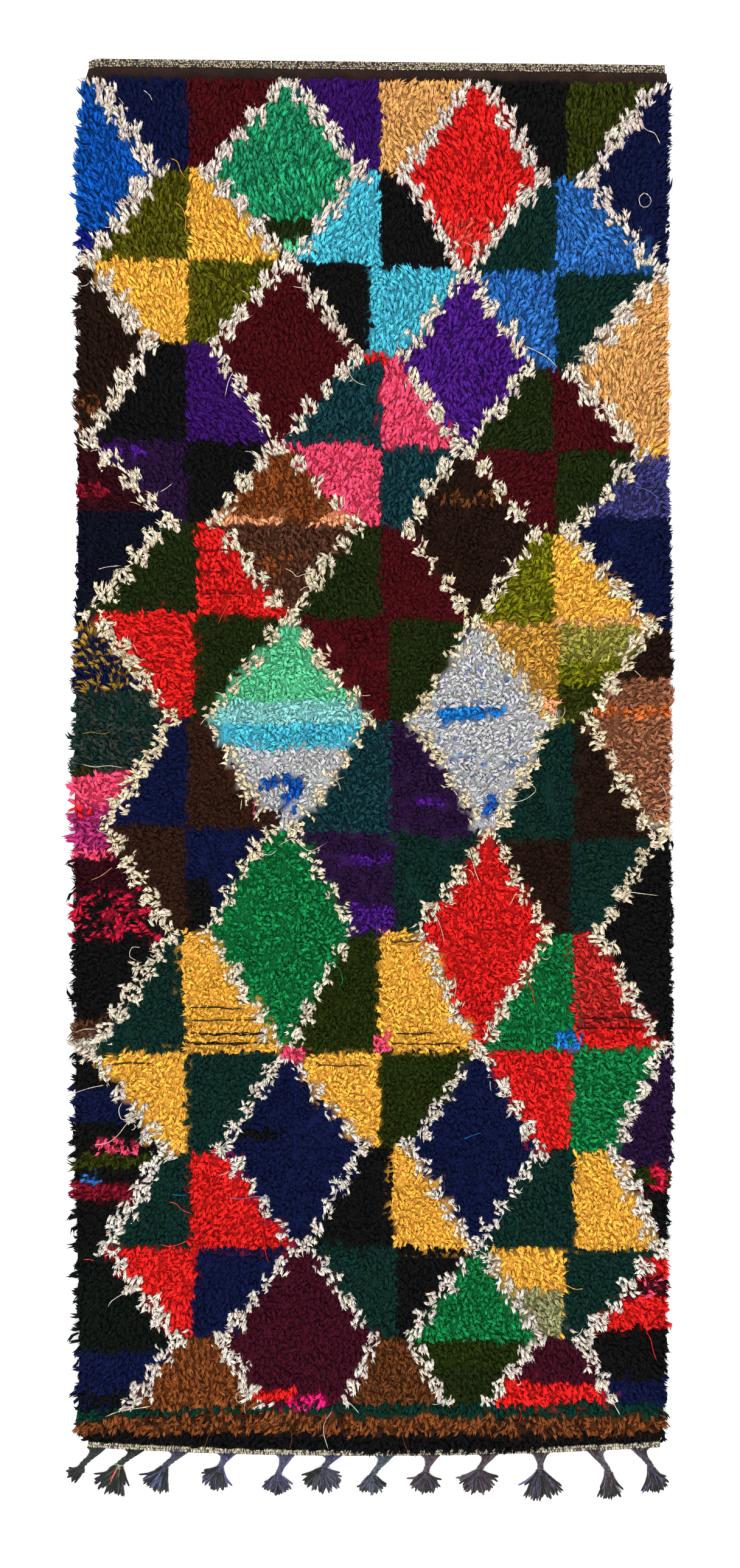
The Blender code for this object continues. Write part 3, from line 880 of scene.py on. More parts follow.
shagWool = woolMaterial("shagWool")
bedWool = woolMaterial("bedWool")
twineWool = woolMaterial("twineWool")
warpWool = woolMaterial("warpWool")

# Pile. Values in rows of seven hold at the heights in spotsY.
pile = {
    "rowPitch": 0.013,
    "knotPitch": 0.0112,
    "across": 0.28,
    "along": 0.0012,
    "colourAt": 0.70,
    "rootZ": 0.0055,
    "topZ": 0.0205,
    "topLoose": 0.0010,
    "press": 0.34,
    "rootLoose": (0.0052, 0.0060),
    "turnLoose": 0.15,
    "flatness": (0.3, 1.1),
    "reach": (0.42, 0.43),
    "sidesDrop": 0.0065,
    "spotsY": (-1.28, -0.9, -0.5, -0.1, 0.3, 0.8, 1.35),
    "lean": (-1.0, -0.85, -0.55, -0.1, 0.45, 0.85, 1.0),
    "outward": (0.5, 0.7, 0.9, 0.8, 0.5, 0.25, 0.1),
    "length": (0.032, 0.025, 0.027, 0.030, 0.034, 0.036, 0.036),
    "wave": (0.0026, 0.0038, 0.0044, 0.0044, 0.0036, 0.0024, 0.0020),
    "curl": (0.0014, 0.0028, 0.0036, 0.0036, 0.0030, 0.0018, 0.0012),
    "tangle": (0.35, 0.5, 0.65, 0.65, 0.45, 0.3, 0.25),
    "pieces": 6,
}
# How unevenly the wool took its dye: in patches, by knot, by lock and in its hue
dye = {"span": 0.07, "patches": 0.16, "knots": 0.05, "locks": 0.12, "hue": 0.035}
pointsLoose = {"along": (-0.0050, 0.0022), "sideways": 0.0008, "down": 0.0022}
heaps = {"broadSpan": 0.085, "broad": 0.00416, "fineSpan": 0.037, "fine": 0.00208}
comb = {
    "broadSpan": 0.16, "broad": (0.75, 0.55), "fineSpan": 0.042, "fine": (0.75, 0.65), "lean": 0.95,
    "halfWide": 0.55, "sideBand": 0.034, "sidePull": 1.7, "endBand": 0.05, "endPull": 0.7,
}
# Teeth that the tufts form along the two sides
teeth = {
    "pitch": {"left": 0.025, "right": 0.0130},
    "reach": {"left": (0.001, 0.030), "right": (0.002, 0.013)},
    "seed": {"left": 5, "right": 6},
    "tall": (0.45, 1), "offset": 0.22, "startY": -1.4, "count": 400,
    "tidyEdge": {"y": (-0.1, 0.28, 0.34, 0.60, 0.66), "reach": (1, 0.8, 0.2, 0.2, 0.75)},
    "gather": 0.45, "nearBand": 0.006, "stretch": 0.5, "droop": 0.55, "droopBand": 0.012, "droopZ": 0.0045,
}
# Where the tufts stop at the two ends
endTufts = {
    "hangX": (-0.10, -0.04, 0.30, 0.36), "stop": 0.0135, "hang": 0.0115, "loose": (-0.002, 0.004),
    "bandStop": 0.034, "bandLoose": (-0.004, 0.003),
}
# Broad flat locks below and finer ones above them, with one value for each ring from the root to the points.
# Each ring's colour is multiplied by painted shade that is darker towards the root, and the finer locks'
# points get a slight painted highlight.
pileLayers = [
    {"perKnot": 1.20, "halfWide": (0.0042, 0.0056), "shares": (0, 0.5, 1), "heights": (0, 0.78, 0.96),
     "widths": (0.8, 1.0, 0.9), "paintedShading": (0.6, 0.84, 0.94), "reach": (0.65, 1.1), "lower": 0.0016},
    {"perKnot": 1.38, "halfWide": (0.0028, 0.0042), "shares": (0, 0.36, 0.72, 1),
     "heights": (0, 0.72, 0.95, 1), "widths": (0.75, 1.0, 1.0, 0.85), "paintedShading": (0.55, 0.85, 1.0, 1.04),
     "reach": (0.65, 1.2), "lower": 0},
]
bed = {
    "columns": 56, "rows": 129, "z": 0.0125, "lumps": 0.0018, "lumpSpan": 0.011, "heaps": 0.5,
    "rimDrop": 0.0035, "foot": 0.0003, "inset": 0.002, "endInset": (0.001, 0.002), "shade": 0.34,
}
brightest = 0.95  # no wool returns more light than this


def pileLimits(x):
    lower = endY(x) + rug["twiningWide"]
    upper = headingY(x) - rug["headingWide"] - rug["flatBand"]
    return lower, upper


def levelAt(along, band=rug["headingWide"] + rug["flatBand"]):
    # Height of a straight row between the end and the flat-woven band
    return rug["endY"] + (rug["headingY"] - band - rug["endY"]) * along


def atSpots(name, y):
    return np.interp(y, pile["spotsY"], pile[name])


def knotPlaces():
    rows = int((levelAt(1) - rug["endY"]) / pile["rowPitch"])
    columns = round(rug["wide"] / pile["knotPitch"])
    row, column = np.meshgrid(np.arange(rows), np.arange(columns), indexing="ij")
    along = (row.ravel() + 0.5) / rows
    across = (column.ravel() + 0.5 + rng.uniform(-pile["across"], pile["across"], row.size)) / columns
    left, right = edgeX("left", levelAt(along)), edgeX("right", levelAt(along))
    x = left + (right - left) * across
    lower, upper = pileLimits(x)
    y = lower + (upper - lower) * along + rng.normal(0, pile["along"], row.size)
    return x, y


def heapHeight(x, y):
    broad = smoothNoise(x, y, heaps["broadSpan"], "broadHeap")[:, 0] * heaps["broad"]
    return broad + smoothNoise(x, y, heaps["fineSpan"], "fineHeap")[:, 1] * heaps["fine"]


def combing(x, y):
    # Which way the tufts lie at each knot, and how flat
    broad = smoothNoise(x, y, comb["broadSpan"], "broadComb")[:, :2] * comb["broad"]
    fine = smoothNoise(x, y, comb["fineSpan"], "fineComb")[:, :2] * comb["fine"]
    flowX, flowY = (broad + fine).T
    flowX += atSpots("outward", y) * np.sign(x) * np.abs(x / comb["halfWide"]) ** 1.5
    flowY += atSpots("lean", y) * comb["lean"]
    flowX -= np.clip(1 - (x - edgeX("left", y)) / comb["sideBand"], 0, 1) * comb["sidePull"]
    flowX += np.clip(1 - (edgeX("right", y) - x) / comb["sideBand"], 0, 1) * comb["sidePull"]
    lower, _ = pileLimits(x)
    flowY -= np.clip(1 - (y - lower) / comb["endBand"], 0, 1) * comb["endPull"]
    return flowX, flowY


def toothAt(side, y):
    # How far the tufts may stick out past the cloth's edge, and where the nearest tooth's point is
    pitch = teeth["pitch"][side]
    low, high = teeth["reach"][side]
    toothRng = np.random.default_rng(teeth["seed"][side])
    tall = toothRng.uniform(*teeth["tall"], teeth["count"])
    offset = toothRng.uniform(-teeth["offset"], teeth["offset"], teeth["count"])
    number = np.clip(np.floor((y - teeth["startY"]) / pitch).astype(int), 0, teeth["count"] - 1)
    centre = (number + 0.5 + offset[number]) * pitch + teeth["startY"]
    share = np.clip(1 - np.abs(y - centre) / (0.5 * pitch), 0, 1)
    reach = low + (high - low) * tall[number] * share
    if side == "left":
        reach *= np.interp(y, teeth["tidyEdge"]["y"], teeth["tidyEdge"]["reach"])
    return reach, centre


def holdToEdges(lines, shares):
    # Tufts at the sides gather into teeth and droop over the edge
    for side, sign in (("left", -1), ("right", 1)):
        edge = edgeX(side, lines[:, 0, 1])
        allowed, centre = toothAt(side, lines[:, -1, 1])
        outside = (lines[:, -1, 0] - edge) * sign
        near = np.clip(outside / teeth["nearBand"] + 1, 0, 1)
        lines[:, :, 1] += (teeth["gather"] * near * (centre - lines[:, -1, 1]))[:, None] * shares ** 1.5
        inside = (edge - lines[:, 0, 0]) * sign
        fit = (inside + allowed) / np.maximum(inside + outside, 0.004)
        fit = np.clip(fit, 0.25, 1 + teeth["stretch"] * (outside > 0.002))
        lines[:, :, 0] = lines[:, :1, 0] + (lines[:, :, 0] - lines[:, :1, 0]) * fit[:, None]
        past = np.clip((lines[:, :, 0] - edge[:, None]) * sign / teeth["droopBand"], 0, 1)
        lines[:, :, 2] -= past * (lines[:, :, 2] - teeth["droopZ"]) * teeth["droop"]


def holdToEnd(lines):
    # The last tufts stop short of the twining, except in the middle, where they hang over it
    covers = np.interp(lines[:, -1, 0], endTufts["hangX"], (0, 1, 1, 0))
    stop = endY(lines[:, -1, 0]) + endTufts["stop"] - endTufts["hang"] * covers
    stop += rng.uniform(*endTufts["loose"], len(lines))
    drop = lines[:, 0, 1] - lines[:, -1, 1]
    fit = np.where(lines[:, -1, 1] < stop, (lines[:, 0, 1] - stop) / np.maximum(drop, 0.001), 1)
    fit = np.clip(fit, 0.1, 1)[:, None]
    lines[:, :, 1] = lines[:, :1, 1] + (lines[:, :, 1] - lines[:, :1, 1]) * fit
    # and the first ones leave the flat-woven band free
    stop = headingY(lines[:, -1, 0]) - endTufts["bandStop"] + rng.uniform(*endTufts["bandLoose"], len(lines))
    over = np.maximum(lines[:, -1, 1] - stop, 0)[:, None]
    lines[:, :, 1] -= over * np.linspace(0.2, 1, lines.shape[1])


def lockLayer(look, x, y, knots):
    # Every lock of one layer, bent to its place and coloured by the lattice
    counts = np.floor(look["perKnot"] + rng.random(len(x))).astype(int)
    knot = np.repeat(np.arange(len(x)), counts)
    count = len(knot)
    shares = np.array(look["shares"])
    turn = knots["turn"][knot] + rng.normal(0, 1, count) * atSpots("tangle", y[knot])
    reach = knots["reach"][knot] * rng.uniform(*look["reach"], count)
    ahead = np.stack([np.cos(turn), np.sin(turn), np.zeros(count)], axis=1)
    sideways = np.stack([-ahead[:, 1], ahead[:, 0], np.zeros(count)], axis=1)
    looseX, looseY = pile["rootLoose"]
    rootX = x[knot] + rng.uniform(-looseX, looseX, count)
    rootY = y[knot] + rng.uniform(-looseY, looseY, count)
    seen = reach * pile["colourAt"]
    picked = latticeYarn(rootX + ahead[:, 0] * seen, rootY + ahead[:, 1] * seen, rng.random(count))
    top = knots["heap"][knot] + rng.normal(0, pile["topLoose"], count) - look["lower"]
    wave = rng.uniform(-1, 1, count) * atSpots("wave", y[knot])
    curl = rng.normal(0, 1, count) * atSpots("curl", y[knot])
    forward = reach[:, None] * shares
    swing = wave[:, None] * np.sin(shares * math.pi * 1.3) + curl[:, None] * shares ** 3
    lines = np.empty((count, len(shares), 3))
    lines[:, :, 0] = rootX[:, None] + ahead[:, :1] * forward + sideways[:, :1] * swing
    lines[:, :, 1] = rootY[:, None] + ahead[:, 1:2] * forward + sideways[:, 1:2] * swing
    lines[:, :, 2] = pile["rootZ"] + (top - pile["rootZ"])[:, None] * np.array(look["heights"])
    holdToEdges(lines, shares)
    holdToEnd(lines)
    radii = rng.uniform(*look["halfWide"], count)[:, None] * np.array(look["widths"])
    shape = lockShape(len(shares) - 1)
    places = yarnPlaces(shape, lines, radii, sideways, pile["press"])
    # The two points of a lock end at different lengths
    places[:, -2:] += ahead[:, None] * rng.uniform(*pointsLoose["along"], (count, 2, 1))
    places[:, -2:] += sideways[:, None] * rng.normal(0, pointsLoose["sideways"], (count, 2, 1))
    places[:, -2:, 2] -= rng.uniform(0, pointsLoose["down"], (count, 2))
    colours = woolColour(picked, rootY)
    strength = toneStrength(colours)
    tone = np.exp((knots["dye"][knot] + rng.normal(0, dye["locks"], count)) * strength)
    colours *= tone[:, None] * np.exp(rng.normal(0, dye["hue"], (count, 3)))
    # Painted shade on each ring, darker towards the root, with a little painted highlight at the points of
    # the finer locks; strongest in red and green wool, weakest in dark wool
    paintedShading = 1 - (1 - np.array(look["paintedShading"])) * strength[:, None]
    colours = np.clip(paintRings(shape, colours, paintedShading), 0, brightest)
    return {"shape": shape, "places": places, "colours": colours, "root": rootY}


def buildPile():
    x, y = knotPlaces()
    flowX, flowY = combing(x, y)
    turn = np.arctan2(flowY, flowX) + rng.normal(0, pile["turnLoose"], len(x))
    flat = np.clip(np.hypot(flowX, flowY), *pile["flatness"]) * rng.uniform(0.85, 1.1, len(x))
    length = atSpots("length", y) * rng.uniform(0.85, 1.15, len(x))
    standing, lying = pile["reach"]
    nearEdge = np.clip(1 - np.minimum(x - edgeX("left", y), edgeX("right", y) - x) / 0.02, 0, 1)
    patches = smoothNoise(x, y, dye["span"], "dye")[:, 2] * dye["patches"]
    knots = {
        "turn": turn,
        "reach": length * (standing + lying * np.clip(flat, 0, 1)),
        "heap": pile["topZ"] + heapHeight(x, y) - pile["sidesDrop"] * nearEdge ** 1.5,
        "dye": patches + rng.normal(0, dye["knots"], len(x)),
    }
    layers = [lockLayer(look, x, y, knots) for look in pileLayers]
    pieces = []
    cuts = np.quantile(y, np.linspace(0, 1, pile["pieces"] + 1))
    cuts[0], cuts[-1] = -np.inf, np.inf
    for number in range(pile["pieces"]):
        parts = []
        for layer in layers:
            chosen = (layer["root"] >= cuts[number]) & (layer["root"] < cuts[number + 1])
            parts.append({**layer, "places": layer["places"][chosen], "colours": layer["colours"][chosen]})
        pieces.append(joinCopies(f"pile_tufts_{number + 1}", parts, shagWool))
    print("pile knotted:", len(x), "knots,", sum(len(layer["root"]) for layer in layers), "locks")
    return pieces


# Loose yarns that lie on the pile, by the photo's pixels, which are 1.15 mm wide
photo = {"middleX": 611.2, "middleY": 1280.5, "pixel": 0.00115}
looseYarns = [
    ("cream", ((1068, 326), (1058, 319), (1049, 328), (1053, 341), (1064, 341), (1069, 331), (1064, 322))),
    ("cream", ((1048, 204), (1062, 216), (1075, 222), (1084, 240))),
    ("cream", ((842, 244), (858, 248), (872, 245))),
    ("yellow", ((280, 262), (292, 268), (298, 284), (306, 296))),
    ("yellow", ((288, 334), (300, 344), (306, 364), (304, 384))),
    ("cream", ((236, 150), (246, 158), (251, 168))),
    ("cream", ((188, 334), (204, 336), (222, 330))),
    ("cream", ((384, 612), (376, 628), (370, 654))),
    ("cream", ((560, 596), (572, 612), (584, 628), (604, 636))),
    ("cream", ((468, 934), (480, 940), (488, 948), (500, 944), (516, 942))),
    ("cream", ((162, 936), (178, 932), (200, 930))),
    ("coral", ((402, 962), (382, 984), (368, 1006), (359, 1026))),
    ("slateBlue", ((1040, 800), (1062, 806), (1084, 822))),
    ("cream", ((862, 570), (884, 580), (900, 590), (916, 606))),
    ("cream", ((134, 1255), (156, 1260), (180, 1258), (206, 1262))),
    ("mustard", ((134, 1206), (152, 1203), (170, 1206), (182, 1202))),
    ("hotPink", ((419, 1312), (418, 1328), (416, 1336), (421, 1346))),
    ("cream", ((456, 1390), (470, 1382), (484, 1378), (496, 1390), (512, 1398), (540, 1382))),
    ("cream", ((430, 1402), (444, 1404), (456, 1396))),
    ("tan", ((150, 1446), (168, 1438), (186, 1424))),
    ("cream", ((828, 1314), (850, 1317), (868, 1310), (880, 1298), (872, 1290), (852, 1293))),
    ("cream", ((1080, 1284), (1092, 1300), (1094, 1318), (1082, 1330), (1066, 1328))),
    ("darkPurple", ((738, 1338), (756, 1362), (770, 1392), (778, 1420))),
    ("cream", ((776, 1412), (780, 1430), (788, 1450))),
    ("cream", ((1018, 1474), (1034, 1466), (1056, 1468), (1082, 1471))),
    ("cream", ((232, 1556), (218, 1556), (214, 1570), (226, 1578))),
    ("cream", ((124, 1696), (140, 1690), (162, 1690))),
    ("green", ((544, 1580), (558, 1592), (563, 1610), (558, 1620))),
    ("cream", ((203, 1808), (196, 1822), (202, 1838), (220, 1832), (238, 1822))),
    ("cream", ((238, 1826), (212, 1842), (196, 1862), (178, 1876), (152, 1880))),
    ("cream", ((176, 1781), (150, 1786), (128, 1793), (104, 1803))),
    ("slateBlue", ((372, 1966), (396, 1968), (420, 1964), (446, 1966))),
    ("cream", ((710, 1496), (720, 1512), (726, 1530), (730, 1548))),
    ("cream", ((746, 1604), (749, 1620), (746, 1640))),
    ("red", ((866, 1612), (874, 1626), (878, 1650))),
    ("azure", ((762, 1870), (776, 1864), (790, 1860))),
    ("coral", ((138, 2068), (146, 2067), (156, 2069))),
    ("coral", ((277, 1973), (290, 1976), (300, 1986), (317, 1993))),
    ("coral", ((263, 2043), (280, 2046), (296, 2042), (310, 2036))),
    ("azure", ((282, 1961), (296, 1962), (308, 1962))),
    ("red", ((426, 2010), (434, 2030), (436, 2052), (442, 2074))),
    ("cream", ((222, 2112), (202, 2124), (184, 2136), (178, 2146))),
    ("cream", ((250, 2308), (224, 2312), (198, 2316), (172, 2326))),
    ("paleGrey", ((546, 2316), (534, 2334), (532, 2352), (540, 2380))),
    ("red", ((1060, 2184), (1068, 2198), (1072, 2216), (1078, 2234))),
    ("red", ((852, 2308), (856, 2322), (852, 2336))),
    ("cream", ((1004, 2296), (1010, 2308), (1018, 2322))),
    ("orangeBrown", ((346, 2346), (342, 2360), (336, 2376))),
    ("orangeBrown", ((478, 2344), (480, 2362), (476, 2378))),
    ("orangeBrown", ((660, 2352), (664, 2368), (670, 2382))),
    ("yellow", ((908, 2104), (926, 2108), (944, 2116), (958, 2115))),
]
# Partings between two rows, drawn as thin yarns whose dark colour is painted shade of the gap: height, start
# and end in millimetres, and that colour
partings = [
    {"y": -431, "from": -346, "to": -243, "dark": (34, 42, 30)},
    {"y": -454, "from": -346, "to": -208, "dark": (34, 42, 30)},
    {"y": -479, "from": -346, "to": -197, "dark": (24, 28, 22)},
    {"y": -481, "from": -330, "to": -210, "dark": (24, 28, 22)},
    {"y": -497, "from": -358, "to": -185, "dark": (24, 28, 22)},
    {"y": -499, "from": -340, "to": -230, "dark": (24, 28, 22)},
    {"y": -306, "from": 33, "to": 91, "dark": (60, 50, 24)},
    {"y": -479, "from": 45, "to": 119, "dark": (40, 40, 22)},
    {"y": -499, "from": 27, "to": 171, "dark": (30, 32, 20)},
    {"y": -536, "from": -502, "to": -415, "dark": (60, 50, 24)},
    {"y": -540, "from": -105, "to": -1, "dark": (60, 50, 24)},
    {"y": -450, "from": 390, "to": 505, "dark": (44, 12, 14)},
    {"y": -469, "from": 378, "to": 516, "dark": (30, 14, 14)},
    {"y": 432, "from": -335, "to": -266, "dark": (90, 14, 16)},
    {"y": 392, "from": -330, "to": -270, "dark": (90, 14, 16)},
    {"y": 350, "from": -330, "to": -240, "dark": (90, 14, 16)},
]
loose = {
    "halfWide": 0.0009, "thick": (0.7, 1.2), "above": 0.0022, "rings": 12, "tone": 0.1,
    "edgeBand": (-0.02, 0.012), "droop": 0.45, "dip": 0.005,
}
strays = {
    "tries": 1200, "acrossTo": 0.54, "along": (-1.22, 1.30), "creamShare": 0.8, "otherShare": 0.12,
    "long": (0.012, 0.030), "turn": 0.8, "coil": 1.5, "rings": 7,
}
partingShade = {"above": -0.0004, "wide": 1.9, "span": 0.018, "wander": 0.0040}


def smoothPath(points, count):
    # A curve through the given points
    points = np.vstack([2 * points[0] - points[1], points, 2 * points[-1] - points[-2]])
    along = np.linspace(0, len(points) - 3 - 1e-6, count)
    first = along.astype(int)
    share = (along - first)[:, None]
    before, here, after, beyond = (points[first + step] for step in range(4))
    straight = 2 * here + (after - before) * share
    bend = (2 * before - 5 * here + 4 * after - beyond) * share ** 2
    return 0.5 * (straight + bend + (3 * here - before - 3 * after + beyond) * share ** 3)


def strayPaths():
    # Short loose ends everywhere, most of them cream
    count = strays["tries"]
    x = rng.uniform(-strays["acrossTo"], strays["acrossTo"], count)
    y = rng.uniform(*strays["along"], count)
    picked = latticeYarn(x, y, rng.random(count))
    chance = np.where(picked == yarnNumber("cream"), strays["creamShare"], strays["otherShare"])
    kept = rng.random(count) < chance
    x, y, picked = x[kept], y[kept], picked[kept]
    flowX, flowY = combing(x, y)
    turn = np.arctan2(flowY, flowX) + rng.normal(0, strays["turn"], len(x))
    coil = rng.normal(0, strays["coil"], (len(x), 1))
    turns = turn[:, None] + coil * np.linspace(0, 1, strays["rings"])
    stride = rng.uniform(*strays["long"], (len(x), 1)) / (strays["rings"] - 1)
    across = x[:, None] + np.cumsum(np.cos(turns) * stride, axis=1)
    along = y[:, None] + np.cumsum(np.sin(turns) * stride, axis=1)
    return np.stack([across, along], axis=2), woolColour(picked, y)


def placedPaths():
    paths, wool = [], []
    for yarn, pixels in looseYarns:
        spots = np.array(pixels, float) - (photo["middleX"], photo["middleY"])
        paths.append(smoothPath(spots * (photo["pixel"], -photo["pixel"]), loose["rings"]))
        wool.append(linearColour(yarns[yarn]))
    return np.array(paths), np.array(wool)


def partingPaths():
    paths, wool = [], []
    for row in partings:
        x = np.linspace(row["from"], row["to"], loose["rings"]) / 1000
        wander = smoothNoise(x, x * 0 + row["y"], partingShade["span"], "parting")[:, 0] * partingShade["wander"]
        paths.append(np.stack([x, row["y"] / 1000 + wander], axis=1))
        # The dark colour is painted shade of the gap between the rows
        wool.append(linearColour(row["dark"]))
    return np.array(paths), np.array(wool)


def layOnPile(flat, above):
    # Heights for paths that rest on the tufts and droop past the sides
    lines = np.zeros((*flat.shape[:2], 3))
    lines[:, :, :2] = flat
    x, y = flat[:, :, 0].ravel(), flat[:, :, 1].ravel()
    past, full = loose["edgeBand"]
    inside = np.clip(np.minimum(x - edgeX("left", y), edgeX("right", y) - x), past, full)
    height = pile["topZ"] + heapHeight(x, y) + above - (full - inside) * loose["droop"]
    lines[:, :, 2] = height.reshape(flat.shape[:2])
    lines[:, 0, 2] -= loose["dip"]
    return lines


def buildLooseYarns():
    kinds = [
        (*placedPaths(), loose["above"], 1),
        # Partings: thin yarns in colours of painted shade, laid just under the tops of the tufts
        (*partingPaths(), partingShade["above"], partingShade["wide"]),
        (*strayPaths(), loose["above"], 1),
    ]
    parts = []
    for flat, wool, above, wide in kinds:
        lines = layOnPile(flat, above)
        count, rings = lines.shape[:2]
        shape = yarnShape(3, rings - 1)
        taper = np.r_[0.3, np.ones(rings - 2), 0.5]
        radii = rng.uniform(*loose["thick"], (count, rings)) * taper * loose["halfWide"] * wide
        tone = wool * np.exp(rng.normal(0, loose["tone"], (count, 1)))
        parts.append({
            "shape": shape,
            "places": yarnPlaces(shape, lines, radii),
            "colours": np.clip(paintRings(shape, tone, np.ones((count, rings))), 0, brightest),
        })
    return joinCopies("loose_yarn_ends", parts, shagWool)


def paintPoints(mesh, colours, alpha=1.0):
    paint = mesh.color_attributes.new(name="yarnColour", type="FLOAT_COLOR", domain="POINT")
    rgba = np.empty((len(mesh.vertices), 4), np.float32)
    rgba[:, :3] = colours
    rgba[:, 3] = alpha
    paint.data.foreach_set("color", rgba.ravel())


def meshPoints(mesh):
    points = np.empty(len(mesh.vertices) * 3, np.float32)
    mesh.vertices.foreach_get("co", points)
    return points.reshape(-1, 3).astype(float)


def clothGrid(columns, rows, place):
    bm = bmesh.new()
    bmesh.ops.create_grid(bm, x_segments=columns, y_segments=rows, size=0.5)
    shares = np.array([vert.co[:2] for vert in bm.verts]) + 0.5
    for vert, spot in zip(bm.verts, place(shares[:, 0], shares[:, 1])):
        vert.co = spot
    return bm


def finishObject(name, bm, material, smooth=True):
    mesh = bpy.data.meshes.new(name)
    bm.to_mesh(mesh)
    bm.free()
    mesh.materials.append(material)
    if smooth:
        mesh.polygons.foreach_set("use_smooth", np.ones(len(mesh.polygons), bool))
    obj = bpy.data.objects.new(name, mesh)
    bpy.context.scene.collection.objects.link(obj)
    return obj


def closeAcross(bm, z):
    # A skirt from the rim straight to height z, and one flat face there
    rim = [edge for edge in bm.edges if edge.is_boundary]
    made = bmesh.ops.extrude_edge_only(bm, edges=rim)["geom"]
    foot = [item for item in made if isinstance(item, bmesh.types.BMVert)]
    for vert in foot:
        vert.co.z = z
    bmesh.ops.edgeloop_fill(bm, edges=edgesWithin(made, foot))
    bmesh.ops.recalc_face_normals(bm, faces=bm.faces)


def buildBed():
    # The dense roots of the tufts, which show dark between them: their yarn colours are darkened as painted
    # shade
    def place(across, along):
        left = edgeX("left", levelAt(along)) + bed["inset"]
        right = edgeX("right", levelAt(along)) - bed["inset"]
        x = left + (right - left) * across
        lower, upper = pileLimits(x)
        foot, head = bed["endInset"]
        y = lower + foot + (upper - lower - foot - head) * along
        lumps = smoothNoise(x, y, bed["lumpSpan"], "bed")[:, 0] * bed["lumps"]
        z = bed["z"] + heapHeight(x, y) * bed["heaps"] + lumps
        toSide = np.minimum(across, 1 - across) * bed["columns"]
        toEnd = np.minimum(along, 1 - along) * bed["rows"]
        z -= bed["rimDrop"] * (np.minimum(toSide, toEnd) < 0.5)
        return np.stack([x, y, z], axis=1)

    bm = clothGrid(bed["columns"], bed["rows"], place)
    closeAcross(bm, rug["groundThick"] + bed["foot"])
    obj = finishObject("pile_bed", bm, bedWool)
    points = meshPoints(obj.data)
    picked = latticeYarn(points[:, 0], points[:, 1], rng.random(len(points)), lined=False)
    colours = woolColour(picked, points[:, 1])
    # Painted shade: the yarn colours darkened, less in dark wool
    shade = 1 - (1 - bed["shade"]) * np.clip(toneStrength(colours), 0, 1)
    paintPoints(obj.data, colours * shade[:, None])
    return obj


# Ground cloth: weft-faced, with a rib over each pair of warps
ground = {
    "columns": 46, "rows": 108, "rib": 0.0062, "pick": 0.0024, "gap": 0.0003, "scallop": 0.0025,
    "scallopSpan": 0.024, "brown": (30, 19, 15), "rust": (46, 28, 20), "backShade": 0.75, "rough": 0.92,
    "shine": 0.15,
}
weaveLook = {
    "over": 0.45, "wornScale": 22, "wornDetail": 3, "wornFrom": 0.45, "wornTo": 0.75,
    "grainScale": 320, "grainDetail": 4, "grainShade": 1.9, "darkest": -0.1, "pickShade": 0.05,
    "grainHeight": 0.35, "bumpHeight": 0.0008,
}


